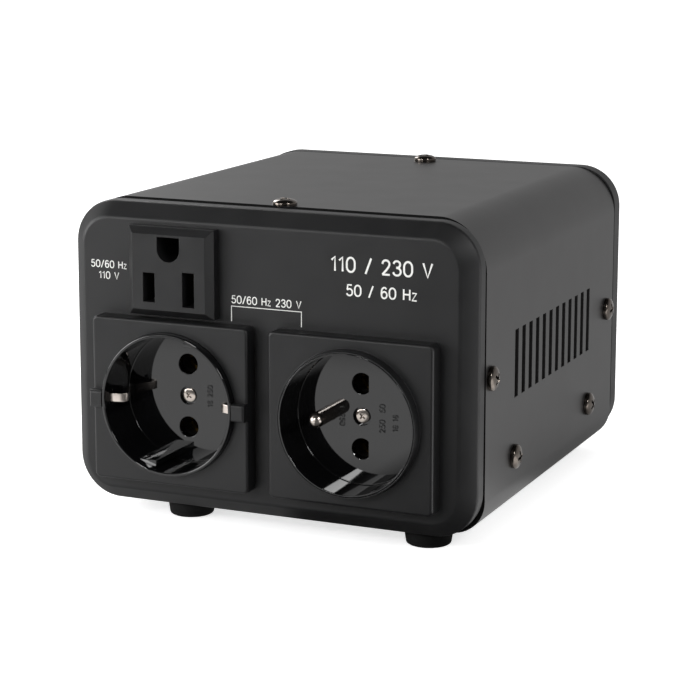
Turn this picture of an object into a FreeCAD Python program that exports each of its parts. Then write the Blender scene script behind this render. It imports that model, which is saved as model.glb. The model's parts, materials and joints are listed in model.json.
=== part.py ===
import FreeCAD, Part
import math
import os

# Voltage converter: sheet-steel case between two moulded end bezels.
# X is the width, Y runs from the socket panel to the rear, Z is up.
# The origin is under the middle of the part, on the surface that it stands on.

os.makedirs("parts", exist_ok=True)
Vector = FreeCAD.Vector

# Case, in millimetres
caseDepth = 141.0
caseSideMargin = 10.05
caseTopMargin = 5.9
bezelCorner = 13.0
bezelSlope = 4.4
frontSkirt = 3.8
rearSkirt = 5.8
panelWall = 2.5
slopeSoftening = 1.6
seamGap = 0.6
coverSheet = 1.0
coverTopCorner = 14.5
coverBottomCorner = 10.0
traySheet = 1.2
trayFlangeTop = 27.0
tongueLength = 12.0
tongueWall = 2.0
slideFit = 0.2
bossRadius = 3.6
bossLength = 6.0

# Ventilation slots in both sides of the cover
ventCount = 12
ventPitch = 6.2
ventWidth = 3.1
ventHeight = 20.0

# Screws that hold the cover
screwRadius = 1.5
screwHole = 2.0
screwHeadRadius = 3.6
screwHeadHeight = 2.2
screwLength = 7.0
crownShare = 0.6
screwInset = 5.4
rearScrewInset = 7.4
lowerScrewHeight = 17.5
lowerScrewSpacing = 70.6

# Rubber feet
footTopRadius = 7.2
footBottomRadius = 6.5
footHeight = 4.8
footLeftInset = 32.5
footRightInset = 18.2
footRounding = 0.8
footInset = 5.2
footScrewRadius = 1.7
footScrewHead = 3.2
footWell = 2.6
footNeck = 4.6
footBossHeight = 3.0

# The two European socket inserts
plateWidth = 50.2
plateHeight = 48.6
plateProud = 5.2
plateGap = 6.5
plateBottom = 8.4
plateEdge = 0.8
plateCorner = 1.6
cupRadius = 20.0
cupWall = 1.1
germanRimProud = 2.6
germanCupDepth = 12.0
frenchRimProud = 3.0
frenchCupDepth = 9.2
frenchRimWall = 0.6
frenchCollarSpread = 0.9
frenchCollarLip = 0.35
floorWall = 2.4
cupPanelGap = 0.2
collarWall = 2.0
cupFlange = 1.0
cupFlangeReach = 2.2
pegRadius = 1.5
pegInset = 3.4
barWidth = 5.1
pinSpacing = 19.0
pinHole = 3.0
screwWell = 2.7
screwWellDepth = 1.2
centreScrewHead = 2.1
centreScrewShank = 1.25
centreScrewBite = 9.0
carrierWidth = 40.0
carrierHeight = 34.0
carrierDepth = 17.0
ribWidth = 5.7
ribOffset = 7.4
ribDepth = 2.8
clipSheet = 0.8
clipWidth = 3.0
clipReach = 4.4
clipSlot = 0.3
clipStart = 0.8
clipSlotLength = 1.4
clipShoulder = 0.4
clipNose = 2.2
clipTail = 1.2
clipTailRise = 1.5
earthPinRadius = 2.2
earthPinRootRadius = 2.6
earthPinShort = 1.1
earthPinOffset = 10.0
earthPinTail = 2.0
contactOuter = 3.4
contactInner = 2.4
contactLength = 13.0
contactRecess = 5.0
contactMouth = 3.2
contactSlit = 0.8
contactBack = 1.2
contactTagRoot = 0.5
carrierCorner = 3.0
contactFit = 0.05

# The American outlet
usWidth = 27.4
usHeight = 26.0
usGap = 1.1
usFaceProud = 4.8
usBevel = 2.0
usSlotLow = 4.5
usSlotSpacing = 12.7
usSlotWidth = 3.8
usLiveSlot = 8.6
usNeutralSlot = 10.1
usEarthRise = 11.5
usEarthWidth = 7.2
usEarthHeight = 6.8
usBodyWidth = 23.0
usBodyHeight = 23.0
usBodyDepth = 18.0
usSlotDepth = 14.0
usBladeSheet = 0.7
usLeaf = 6.0
usLeafShort = 2.0
usEarthLeaf = 8.0
usTagWidth = 2.8

# Wedges that hold the snapped-in housings
lugReach = 0.9
lugLength = 4.0
lugHeight = 5.0

# Transformer
coreWidth = 96.0
coreHeadroom = 6.8
coreStack = 44.0
coreBoltRadius = 2.0
coreBoltInset = 7.0
formerWall = 1.2
formerFit = 0.3
windingGap = 2.4
windingCorner = 6.0
wrapSheet = 0.6
angleSheet = 2.0
angleFoot = 15.0
angleRise = 14.0
angleBoltSpread = 72.0
nutHeight = 3.2
nutRadius = 3.9
boltHeadHeight = 2.6
boltHeadRadius = 3.9
boltSpare = 1.0
cutoutWidth = 9.0
cutoutHeight = 18.0
cutoutDepth = 4.0
cutoutRounding = 1.2
leadRadius = 0.9
leadGap = 0.2
leadStep = 2.2
leadOver = 1.5
leadRise = 17.0
leadTurn = 8.0
leadFeed = 3.0
earthLeadX = 11.6

# Fittings on the rear panel
rearFittingHeight = 58.0
switchX = -38.0
switchWidth = 27.0
switchHeight = 19.0
switchFlange = 1.8
switchWellDepth = 9.0
switchBodyWidth = 23.0
switchBodyHeight = 15.0
switchBodyDepth = 17.0
switchTagReach = 7.0
switchRounding = 0.8
rockerWidth = 19.0
rockerHeight = 11.6
rockerFit = 0.4
rockerTilt = 8.0
rockerCrown = 2.4
rockerProud = 0.5
rockerPinRadius = 1.2
rockerPinFit = 0.08
rockerPinReach = 1.3
selectorX = -2.0
selectorWidth = 24.0
selectorHeight = 13.0
selectorPlate = 1.6
selectorWindow = 13.0
selectorWindowHeight = 7.0
selectorTravel = 5.0
selectorKnobProud = 1.4
selectorFit = 0.3
selectorChannel = 6.0
selectorChannelHeight = 9.0
selectorBaseDepth = 5.0
selectorBodyWall = 1.0
selectorBodySide = 2.0
selectorBodyDepth = 12.0
selectorTagPitch = 5.0
selectorRounding = 0.5
selectorRib = 0.8
selectorRibPitch = 1.8
fuseX = 38.0
fuseFlangeRadius = 8.0
fuseFlange = 2.0
fuseBarrelRadius = 6.2
fuseBarrelEnd = 2.0
fuseBoreRadius = 4.6
fuseCapProud = 8.0
fuseCapRadius = 6.0
fuseStemRadius = 4.2
fuseStemLength = 9.0
fuseGrip = 5.0
fuseLinkRadius = 2.6
fuseLinkLength = 20.0
fuseEndCap = 5.0
fuseSideTag = 15.0
fuseNutSpread = 1.5
fluteRadius = 1.2
fluteOut = 0.6
fluteCount = 8
capRounding = 0.8
capSlotDepth = 1.0
capSlotWidth = 1.2
inletX = 26.0
inletHeight = 26.0
inletWidth = 50.0
inletFlangeHeight = 22.5
inletFlange = 2.2
inletBodyWidth = 27.5
inletBodyHeight = 20.0
inletBodyDepth = 21.0
inletMouthWidth = 24.6
inletMouthHeight = 16.8
inletMouthDepth = 17.0
inletMouthCut = 5.0
inletBladeSpacing = 14.0
inletBladeLength = 14.5
inletBladeWidth = 2.0
inletBladeHeight = 4.0
inletScrewSpacing = 40.0
inletScrewRadius = 1.5
inletHeadRadius = 2.8
inletHeadHeight = 1.8
inletNutRadius = 3.1
inletNutHeight = 2.4
inletBladeRise = 2.0
inletCorner = 8.0
tagSpread = 9.0
tagLength = 8.0
tagWidth = 4.8
tagSheet = 0.8

# Places worked out from the sizes above
caseWidth = 2 * plateWidth + plateGap + 2 * caseSideMargin
caseHeight = plateBottom + plateHeight + usGap + usHeight + caseTopMargin
frontProud = plateProud + frenchRimProud
rearProud = fuseFlange + fuseCapProud
frontPanel = frontProud - (frontProud + caseDepth + rearProud) / 2
rearPanel = frontPanel + caseDepth
frontBezelDepth = bezelSlope + frontSkirt
rearBezelDepth = bezelSlope + rearSkirt
frontSeam = frontPanel + frontBezelDepth
rearSeam = rearPanel - rearBezelDepth
plateFace = frontPanel - plateProud
caseBottom = footHeight
trayTop = caseBottom + coverSheet + traySheet
halfWidth = caseWidth / 2
footLeft = footLeftInset - halfWidth
footRight = halfWidth - footRightInset
sideInset = coverSheet + slideFit
floorInset = coverSheet + traySheet + slideFit
socketX = (plateWidth + plateGap) / 2
socketZ = caseBottom + plateBottom + plateHeight / 2
usZ = caseBottom + plateBottom + plateHeight + usGap + usHeight / 2
frontScrewY = frontSeam + screwInset
rearScrewY = rearSeam - rearScrewInset
middleY = (frontSeam + rearSeam) / 2
sideScrewZ = caseBottom + caseHeight / 2
coreHeight = caseHeight - 2 * coverSheet - traySheet - coreHeadroom


def box(x0, x1, y0, y1, z0, z1):
    return Part.makeBox(x1 - x0, y1 - y0, z1 - z0, Vector(x0, y0, z0))


def rodY(x, z, y0, y1, radius):
    return Part.makeCylinder(radius, y1 - y0, Vector(x, y0, z), Vector(0, 1, 0))


def coneY(x, z, y0, y1, radius0, radius1):
    return Part.makeCone(radius0, radius1, y1 - y0, Vector(x, y0, z), Vector(0, 1, 0))


def joined(first, *others):
    return first.multiFuse(list(others)).removeSplitter()


def roundedOutline(left, right, bottom, top, topRadius, bottomRadius, y):
    """Rounded rectangle in the XZ plane at depth y."""
    corners = [(right, top, topRadius, 0), (left, top, topRadius, 90),
               (left, bottom, bottomRadius, 180), (right, bottom, bottomRadius, 270)]
    edges = []
    ends = []
    for x, z, radius, start in corners:
        cx = x - math.copysign(radius, x - (left + right) / 2)
        cz = z - math.copysign(radius, z - (bottom + top) / 2)
        points = []
        for turn in (0, 45, 90):
            angle = math.radians(start + turn)
            points.append(Vector(cx + radius * math.cos(angle), y, cz + radius * math.sin(angle)))
        ends.append((points[0], points[2]))
        edges.append(Part.Arc(*points).toShape())
    for i in range(4):
        begin = ends[i][1]
        end = ends[(i + 1) % 4][0]
        edges.append(Part.LineSegment(begin, end).toShape())
    return Part.Wire(Part.__sortEdges__(edges))


def roundedSlab(left, right, bottom, top, topRadius, bottomRadius, y0, y1):
    face = Part.Face(roundedOutline(left, right, bottom, top, topRadius, bottomRadius, y0))
    return face.extrude(Vector(0, y1 - y0, 0))


def edgesAtY(shape, y):
    """Edges of a shape that lie wholly at one depth."""
    return [e for e in shape.Edges if all(abs(v.Y - y) < 1e-4 for v in e.Vertexes)]


def export(name, *shapes):
    shape = shapes[0] if len(shapes) == 1 else Part.makeCompound(list(shapes))
    shape.exportStep("parts/" + name + ".step")


# Screws and nuts

def panScrew(shankRadius, length, headRadius, headHeight):
    """Screw along +Z, with a crowned head above z = 0."""
    crown = headHeight * crownShare
    ball = (headRadius ** 2 + crown ** 2) / (2 * crown)
    head = Part.makeCylinder(headRadius, headHeight)
    head = head.common(Part.makeSphere(ball, Vector(0, 0, headHeight - ball)))
    return joined(head, Part.makeCylinder(shankRadius, length, Vector(0, 0, -length)))


def aimed(shape, place, direction):
    """Moves a shape made along +Z to a place, aimed along a direction."""
    result = shape.copy()
    turn = FreeCAD.Rotation(Vector(0, 0, 1), Vector(*direction))
    result.Placement = FreeCAD.Placement(Vector(*place), turn)
    return result


def hexNut(hole, radius, height):
    """Nut on z = 0, along +Z."""
    corners = [Vector(radius * math.cos(math.radians(60 * i)), radius * math.sin(math.radians(60 * i)), 0)
               for i in range(7)]
    prism = Part.Face(Part.makePolygon(corners)).extrude(Vector(0, 0, height))
    return prism.cut(Part.makeCylinder(hole, height))


def coverScrewPlaces():
    """Head seat and outward direction of each screw that holds the cover."""
    places = []
    for side in (-1, 1):
        for y in (frontScrewY, rearScrewY):
            places.append(((side * halfWidth, y, sideScrewZ), (side, 0, 0)))
        for end in (-1, 1):
            y = middleY + end * lowerScrewSpacing / 2
            places.append(((side * halfWidth, y, caseBottom + lowerScrewHeight), (side, 0, 0)))
    for y in (frontScrewY, rearScrewY):
        places.append(((0, y, caseBottom + caseHeight), (0, 0, 1)))
    return places


def footPlaces():
    return [(x, y) for y in (frontSeam + footInset, rearSeam - footInset) for x in (footLeft, footRight)]


# End bezels, made as the front one and mirrored for the rear

def bezelBlank(skirt):
    """Outer form with its sloped border, from y = 0 to the seam, and the tongue behind it."""
    seam = bezelSlope + skirt
    blank = roundedSlab(-halfWidth, halfWidth, caseBottom, caseBottom + caseHeight,
                        bezelCorner, bezelCorner, 0, seam)
    blank = blank.makeChamfer(bezelSlope, edgesAtY(blank, 0))
    blank = blank.makeFillet(slopeSoftening, edgesAtY(blank, 0) + edgesAtY(blank, bezelSlope))
    tongueEnd = seam + tongueLength
    top = caseBottom + caseHeight
    tongue = roundedSlab(-halfWidth + sideInset, halfWidth - sideInset, caseBottom + floorInset,
                         top - sideInset, coverTopCorner - coverSheet, coverBottomCorner - floorInset,
                         bezelSlope, tongueEnd)
    inset = sideInset + tongueWall
    hollow = roundedSlab(-halfWidth + inset, halfWidth - inset, caseBottom + floorInset + tongueWall,
                         top - inset, coverTopCorner - coverSheet - tongueWall,
                         coverBottomCorner - floorInset - tongueWall, panelWall, tongueEnd)
    hollow = hollow.makeChamfer(panelWall * 0.6, edgesAtY(hollow, panelWall))
    return joined(blank, tongue).cut(hollow)


def bezelBosses(y):
    """Screw bosses on the tongue, at the top and at both sides."""
    top = caseBottom + caseHeight
    depth = sideInset + tongueWall + bossLength
    bosses = []
    holes = []
    for x, z, dx, dz in ((-halfWidth, sideScrewZ, 1, 0), (halfWidth, sideScrewZ, -1, 0), (0, top, 0, -1)):
        start = Vector(x + dx * (sideInset + tongueWall / 2), y, z + dz * (sideInset + tongueWall / 2))
        inward = Vector(dx, 0, dz)
        bosses.append(Part.makeCylinder(bossRadius, depth - sideInset - tongueWall / 2, start, inward))
        holes.append(Part.makeCylinder(screwRadius, screwLength, Vector(x, y, z), inward))
    return bosses, holes


def footBosses(y):
    """Bosses on the tongue's floor that the foot screws bite into."""
    start = caseBottom + floorInset
    height = footScrewTop() - start
    bosses = [Part.makeCylinder(bossRadius, height, Vector(x, y, start)) for x in (footLeft, footRight)]
    holes = [Part.makeCylinder(footScrewRadius, height, Vector(x, y, start)) for x in (footLeft, footRight)]
    return bosses, holes


def bezel(skirt, inset):
    seam = bezelSlope + skirt
    bosses, holes = bezelBosses(seam + inset)
    footHolders, footHoles = footBosses(seam + footInset)
    shell = joined(bezelBlank(skirt), *bosses, *footHolders)
    for hole in holes + footHoles:
        shell = shell.cut(hole)
    return shell


def pegPlaces(x):
    """Four pegs that hold a socket plate on the panel."""
    return [(x + side * (plateWidth / 2 - pegInset), socketZ + level * (plateHeight / 2 - pegInset))
            for side in (-1, 1) for level in (-1, 1)]


def clipWay(y0, y1):
    """Room for the outer legs of the German socket's earth springs."""
    reach = cupRadius + cupWall + clipSheet + clipSlot
    return box(-socketX - reach, -socketX + reach, y0, y1,
               socketZ - clipWidth / 2 - clipSlot, socketZ + clipWidth / 2 + clipSlot)


def frontBezel():
    shell = bezel(frontSkirt, screwInset)
    shell.translate(Vector(0, frontPanel, 0))
    back = frontPanel + panelWall
    bore = cupRadius + cupWall + cupPanelGap
    for x, depth in ((-socketX, germanCupDepth), (socketX, frenchCupDepth)):
        seat = plateFace + depth + floorWall
        shell = joined(shell, rodY(x, socketZ, frontPanel + panelWall / 2, seat, bore + collarWall))
        shell = shell.cut(rodY(x, socketZ, frontPanel, seat, bore))
        for pegX, pegZ in pegPlaces(x):
            shell = shell.cut(rodY(pegX, pegZ, frontPanel, back, pegRadius))
    shell = shell.cut(clipWay(frontPanel, plateFace + germanCupDepth + floorWall))
    shell = shell.cut(box(-socketX - usBodyWidth / 2 - slideFit, -socketX + usBodyWidth / 2 + slideFit,
                          frontPanel, back,
                          usZ - usBodyHeight / 2 - slideFit, usZ + usBodyHeight / 2 + slideFit))
    return shell


def rearBezel():
    shell = bezel(rearSkirt, rearScrewInset)
    shell = shell.mirror(Vector(0, 0, 0), Vector(0, 1, 0))
    shell.translate(Vector(0, rearPanel, 0))
    inner = rearPanel - panelWall
    z = caseBottom + rearFittingHeight
    for x, width, height in ((switchX, switchBodyWidth, switchBodyHeight),
                             (selectorX, selectorWindow + 2 * selectorBodySide,
                              selectorChannelHeight + 2 * selectorBodyWall)):
        shell = shell.cut(box(x - width / 2 - slideFit, x + width / 2 + slideFit, inner, rearPanel,
                              z - height / 2 - slideFit, z + height / 2 + slideFit))
    shell = shell.cut(rodY(fuseX, z, inner, rearPanel, fuseBarrelRadius + slideFit))
    inletZ = caseBottom + inletHeight
    shell = shell.cut(box(inletX - inletBodyWidth / 2 - slideFit, inletX + inletBodyWidth / 2 + slideFit,
                          inner, rearPanel,
                          inletZ - inletBodyHeight / 2 - slideFit, inletZ + inletBodyHeight / 2 + slideFit))
    for side in (-1, 1):
        shell = shell.cut(rodY(inletX + side * inletScrewSpacing / 2, inletZ, inner, rearPanel,
                               inletScrewRadius))
    return shell


# Sheet-metal cover and chassis tray

def cover():
    y0 = frontSeam + seamGap
    y1 = rearSeam - seamGap
    top = caseBottom + caseHeight
    outer = roundedSlab(-halfWidth, halfWidth, caseBottom, top, coverTopCorner, coverBottomCorner, y0, y1)
    inner = roundedSlab(-halfWidth + coverSheet, halfWidth - coverSheet, caseBottom + coverSheet,
                        top - coverSheet, coverTopCorner - coverSheet, coverBottomCorner - coverSheet,
                        y0, y1)
    hem = halfWidth - coverBottomCorner - coverSheet
    sheet = outer.cut(inner).cut(box(-hem, hem, y0, y1, caseBottom, caseBottom + coverSheet))
    cuts = []
    for i in range(ventCount):
        y = middleY + (i - (ventCount - 1) / 2) * ventPitch
        cuts.append(box(-halfWidth, halfWidth, y - ventWidth / 2, y + ventWidth / 2,
                        sideScrewZ - ventHeight / 2, sideScrewZ + ventHeight / 2))
    for place, direction in coverScrewPlaces():
        start = Vector(*place) + Vector(*direction) * coverSheet
        cuts.append(Part.makeCylinder(screwHole, coverSheet * 3, start, -Vector(*direction)))
    for cut in cuts:
        sheet = sheet.cut(cut)
    return sheet


def chassisTray():
    """Floor plate with two upturned flanges between the bezel tongues."""
    y0 = frontSeam + seamGap
    y1 = rearSeam - seamGap
    flange0 = frontSeam + tongueLength + seamGap
    flange1 = rearSeam - tongueLength - seamGap
    low = caseBottom + coverSheet
    half = halfWidth - coverSheet
    radius = coverBottomCorner - coverSheet
    outer = roundedSlab(-half, half, low, caseBottom + caseHeight / 2, radius, radius, flange0, flange1)
    inner = roundedSlab(-half + traySheet, half - traySheet, low + traySheet, caseBottom + caseHeight / 2,
                        radius - traySheet, radius - traySheet, flange0, flange1)
    trough = outer.cut(inner).cut(box(-half, half, flange0, flange1,
                                      caseBottom + trayFlangeTop, caseBottom + caseHeight / 2))
    flat = half - radius
    plate = box(-flat, flat, y0, y1, low, low + traySheet)
    tray = joined(trough, plate)
    for place, direction in coverScrewPlaces():
        if direction[0] and abs(place[2] - caseBottom - lowerScrewHeight) < 1:
            tray = tray.cut(Part.makeCylinder(screwRadius, screwLength, Vector(*place), -Vector(*direction)))
    for x, y in footPlaces():
        tray = tray.cut(Part.makeCylinder(footScrewRadius, traySheet, Vector(x, y, low)))
    for x, y in anglePlaces():
        tray = tray.cut(Part.makeCylinder(coreBoltRadius, traySheet, Vector(x, y, low)))
    return tray


def coverScrews():
    screw = panScrew(screwRadius, screwLength, screwHeadRadius, screwHeadHeight)
    return [aimed(screw, place, direction) for place, direction in coverScrewPlaces()]


def foot(x, y):
    """Tapered rubber foot with a neck that reaches the tray between the cover's hems."""
    body = Part.makeCone(footBottomRadius, footTopRadius, caseBottom, Vector(x, y, 0))
    body = body.makeFillet(footRounding, [e for e in body.Edges if all(v.Z < 1e-6 for v in e.Vertexes)])
    body = joined(body, Part.makeCylinder(footNeck, coverSheet, Vector(x, y, caseBottom)))
    body = body.cut(Part.makeCylinder(footScrewHead + slideFit, footWell, Vector(x, y, 0)))
    return body.cut(Part.makeCylinder(footScrewRadius, caseBottom + coverSheet, Vector(x, y, 0)))


def footScrewTop():
    return caseBottom + floorInset + tongueWall + footBossHeight


def footScrews():
    """Screws from the foot's well through the tray into the bezel's tongue."""
    screw = panScrew(footScrewRadius, footScrewTop() - footWell, footScrewHead, footWell * 0.7)
    return [aimed(screw, (x, y, footWell), (0, 0, -1)) for x, y in footPlaces()]


# European socket inserts

def socketPlate(x, rimRadius):
    """Square plate with a round opening, a seat for the cup's flange and four pegs behind."""
    z0 = socketZ - plateHeight / 2
    plate = box(x - plateWidth / 2, x + plateWidth / 2, plateFace, frontPanel, z0, z0 + plateHeight)
    corners = [e for e in plate.Edges if abs(e.Vertexes[0].Y - e.Vertexes[-1].Y) > 1]
    plate = plate.makeFillet(plateCorner, corners)
    plate = plate.makeFillet(plateEdge, edgesAtY(plate, plateFace))
    pegs = [rodY(px, pz, frontPanel - cupFlange, frontPanel + panelWall, pegRadius)
            for px, pz in pegPlaces(x)]
    plate = joined(plate, *pegs)
    plate = plate.cut(rodY(x, socketZ, plateFace, frontPanel, rimRadius + contactFit))
    seat = cupRadius + cupWall + cupFlangeReach + contactFit
    return plate.cut(rodY(x, socketZ, frontPanel - cupFlange, frontPanel, seat))


def germanPlate():
    """Plate with a raised bar on each side, level with the rim."""
    outer = cupRadius + cupWall
    plate = socketPlate(-socketX, outer)
    bar = box(-socketX - plateWidth / 2, -socketX + plateWidth / 2, plateFace - germanRimProud,
              plateFace + plateEdge * 2, socketZ - barWidth / 2, socketZ + barWidth / 2)
    bar = bar.makeFillet(plateEdge, edgesAtY(bar, plateFace - germanRimProud))
    hole = rodY(-socketX, socketZ, plateFace - germanRimProud, frontPanel, outer + contactFit)
    return joined(plate, bar).cut(hole).cut(clipWay(plateFace + clipStart - clipSlot, frontPanel))


def cupShell(x, rimProud, depth):
    """Tube with a floor that has two pin holes and the well of the centre screw."""
    rim = plateFace - rimProud
    floor = plateFace + depth
    back = floor + floorWall
    outer = cupRadius + cupWall
    flange = rodY(x, socketZ, frontPanel - cupFlange, frontPanel, outer + cupFlangeReach)
    cup = joined(rodY(x, socketZ, rim, back, outer), flange)
    cup = cup.cut(rodY(x, socketZ, rim, floor, cupRadius))
    for side in (-1, 1):
        cup = cup.cut(rodY(x, socketZ + side * pinSpacing / 2, floor, back, pinHole))
    cup = cup.cut(rodY(x, socketZ, floor, floor + screwWellDepth, screwWell))
    return cup.cut(rodY(x, socketZ, floor, back, centreScrewShank))


def clipOutline(side):
    """Top view of one earth spring: in through the wall, back towards it, and along the cup outside."""
    wall = cupRadius + cupWall
    start = plateFace + clipStart
    end = plateFace + germanCupDepth + floorWall + clipSheet
    floor = plateFace + germanCupDepth
    inner = [(wall + clipSheet, start), (cupRadius - clipShoulder, start),
             (cupRadius - clipReach, start + clipNose), (cupRadius - clipTail, floor - clipTailRise)]
    outer = [(cupRadius - clipTail / 2, floor - clipTailRise - clipSheet),
             (cupRadius - clipReach + clipSheet, start + clipNose + clipShoulder),
             (cupRadius - clipShoulder / 2, start + clipSheet),
             (wall, start + clipSheet), (wall, end), (wall + clipSheet, end)]
    return [(-socketX + side * px, py) for px, py in inner + outer]


def germanCup():
    cup = cupShell(-socketX, germanRimProud, germanCupDepth)
    floor = plateFace + germanCupDepth
    for side in (-1, 1):
        x = -socketX + side * ribOffset
        z = socketZ + side * (cupRadius - ribDepth)
        rib = box(x - ribWidth / 2, x + ribWidth / 2, plateFace, floor,
                  min(z, z + side * ribDepth * 2), max(z, z + side * ribDepth * 2))
        cup = joined(cup, rib.common(rodY(-socketX, socketZ, plateFace, floor, cupRadius)))
    slot = clipWay(plateFace + clipStart - clipSlot, floor)
    cup = cup.cut(slot.cut(rodY(-socketX, socketZ, plateFace, floor, cupRadius)
                           .fuse(rodY(-socketX, socketZ, plateFace + clipStart + clipSlotLength,
                                      floor, cupRadius + cupWall))))
    return cup


def germanEarthClips():
    """Two sprung strips joined by a strap behind the floor."""
    clips = []
    for side in (-1, 1):
        points = [Vector(px, py, socketZ - clipWidth / 2) for px, py in clipOutline(side)]
        clips.append(Part.Face(Part.makePolygon(points + points[:1])).extrude(Vector(0, 0, clipWidth)))
    back = plateFace + germanCupDepth + floorWall
    reach = cupRadius + cupWall + clipSheet
    strap = box(-socketX - reach, -socketX + reach, back, back + clipSheet,
                socketZ - clipWidth / 2, socketZ + clipWidth / 2)
    strap = strap.cut(rodY(-socketX, socketZ, back, back + clipSheet, centreScrewShank))
    return joined(clips[0], clips[1], strap)


def frenchPlate():
    """Plate round a collar that swells towards the plate."""
    outer = cupRadius + frenchRimWall
    plate = socketPlate(socketX, outer)
    collar = coneY(socketX, socketZ, plateFace - frenchRimProud, plateFace + plateEdge * 2,
                   outer + contactFit + frenchCollarLip, outer + contactFit + frenchCollarSpread)
    hole = rodY(socketX, socketZ, plateFace - frenchRimProud, frontPanel, outer + contactFit)
    return joined(plate, collar).cut(hole)


def frenchCup():
    cup = cupShell(socketX, frenchRimProud, frenchCupDepth)
    rim = plateFace - frenchRimProud
    outer = cupRadius + cupWall
    seat = frontPanel - cupFlange
    slim = rodY(socketX, socketZ, rim, seat, outer).cut(
        rodY(socketX, socketZ, rim, seat, cupRadius + frenchRimWall))
    cup = cup.cut(slim)
    floor = plateFace + frenchCupDepth
    return cup.cut(rodY(socketX - earthPinOffset, socketZ, floor, floor + floorWall, earthPinRootRadius))


def frenchEarthPin():
    """Round-nosed pin with a thicker root through the floor and the carrier, and a tail for its lead."""
    tip = plateFace - frenchRimProud + earthPinShort
    floor = plateFace + frenchCupDepth
    x = socketX - earthPinOffset
    pin = rodY(x, socketZ, tip + earthPinRadius, floor, earthPinRadius)
    root = rodY(x, socketZ, floor, floor + floorWall + carrierDepth + earthPinTail, earthPinRootRadius)
    nose = Part.makeSphere(earthPinRadius, Vector(x, tip + earthPinRadius, socketZ))
    return joined(pin, root, nose)


def contactPlaces(x):
    return [(x, socketZ - pinSpacing / 2), (x, socketZ + pinSpacing / 2)]


def contactCarrier(x, cupDepth):
    """Block behind the cup that holds both contacts and takes the centre screw."""
    front = plateFace + cupDepth + floorWall
    back = front + carrierDepth
    block = roundedSlab(x - carrierWidth / 2, x + carrierWidth / 2, socketZ - carrierHeight / 2,
                        socketZ + carrierHeight / 2, carrierCorner, carrierCorner, front, back)
    for cx, cz in contactPlaces(x):
        block = block.cut(rodY(cx, cz, front, front + contactRecess, contactMouth))
        block = block.cut(rodY(cx, cz, front + contactRecess, back, contactOuter + contactFit))
    return block.cut(rodY(x, socketZ, front, front + centreScrewBite, centreScrewShank))


def germanCarrier():
    """Carrier with a groove for the strap of the earth springs."""
    front = plateFace + germanCupDepth + floorWall
    groove = box(-socketX - carrierWidth / 2, -socketX + carrierWidth / 2, front, front + clipSheet,
                 socketZ - clipWidth / 2, socketZ + clipWidth / 2)
    return contactCarrier(-socketX, germanCupDepth).cut(groove)


def frenchCarrier():
    """Carrier with a hole for the earth pin."""
    front = plateFace + frenchCupDepth + floorWall
    root = rodY(socketX - earthPinOffset, socketZ, front, front + carrierDepth, earthPinRootRadius)
    return contactCarrier(socketX, frenchCupDepth).cut(root)


def socketContact(x, z, front):
    """Split brass sleeve, set back in the carrier, that grips a pin, with a soldering tag behind it."""
    mouth = front + contactRecess
    back = front + contactLength
    sleeve = rodY(x, z, mouth, back, contactOuter)
    sleeve = sleeve.cut(rodY(x, z, mouth, back - contactBack, contactInner))
    sleeve = sleeve.cut(box(x - contactOuter, x + contactOuter, mouth, mouth + (back - mouth) * 0.6,
                            z - contactSlit / 2, z + contactSlit / 2))
    tag = box(x - tagWidth / 2, x + tagWidth / 2, back - contactTagRoot, back + tagLength,
              z - tagSheet / 2, z + tagSheet / 2)
    return joined(sleeve, tag)


def centreScrew(x, cupDepth):
    seat = plateFace + cupDepth + screwWellDepth
    length = floorWall - screwWellDepth + centreScrewBite
    screw = panScrew(centreScrewShank, length, centreScrewHead, screwWellDepth * 0.8)
    return aimed(screw, (x, seat, socketZ), (0, -1, 0))


# American outlet

usFace = frontPanel - usFaceProud
usSeat = usFace + usSlotDepth
usBack = usFace + usBodyDepth


def usBladeSlot(side):
    x = -socketX + side * usSlotSpacing / 2
    z = usZ - usSlotLow
    height = usLiveSlot if side < 0 else usNeutralSlot
    return box(x - usSlotWidth / 2, x + usSlotWidth / 2, usFace, usSeat, z - height / 2, z + height / 2)


def usEarthHole():
    """D-shaped hole with its flat side up."""
    z = usZ - usSlotLow + usEarthRise
    half = usEarthWidth / 2
    spring = z + usEarthHeight / 2 - half
    arch = rodY(-socketX, spring, usFace, usSeat, half)
    arch = arch.cut(box(-socketX - half, -socketX + half, usFace, usSeat, spring, spring + half))
    return joined(arch, box(-socketX - half, -socketX + half, usFace, usSeat, spring, z + usEarthHeight / 2))


def usContactLeaf(x, z, height):
    """Brass leaf along one wall of a slot, with a tag through the back of the body."""
    leaf = box(x, x + usBladeSheet, usSeat - usLeaf, usSeat, z - height / 2, z + height / 2)
    tag = box(x, x + usBladeSheet, usSeat, usBack + tagLength, z - usTagWidth / 2, z + usTagWidth / 2)
    return joined(leaf, tag)


def usContacts():
    """Contacts of the live slot, the neutral slot and the earth hole."""
    z = usZ - usSlotLow
    left = -socketX - usSlotSpacing / 2 - usSlotWidth / 2
    right = -socketX + usSlotSpacing / 2 - usSlotWidth / 2
    earth = box(-socketX - usTagWidth / 2, -socketX + usTagWidth / 2, usSeat - usEarthLeaf,
                usBack + tagLength,
                z + usEarthRise + usEarthHeight / 2 - usBladeSheet, z + usEarthRise + usEarthHeight / 2)
    return [usContactLeaf(left, z, usLiveSlot - usLeafShort),
            usContactLeaf(right, z, usNeutralSlot - usLeafShort), earth]


def snapLugs(x, z, width, y, direction):
    """Two wedges on the sides of a housing that hold it behind its panel."""
    lugs = []
    for side in (-1, 1):
        edge = x + side * width / 2
        outline = [Vector(edge, y, z - lugHeight / 2), Vector(edge + side * lugReach, y, z - lugHeight / 2),
                   Vector(edge, y + direction * lugLength, z - lugHeight / 2)]
        wedge = Part.Face(Part.makePolygon(outline + outline[:1]))
        lugs.append(wedge.extrude(Vector(0, 0, lugHeight)))
    return lugs


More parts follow.
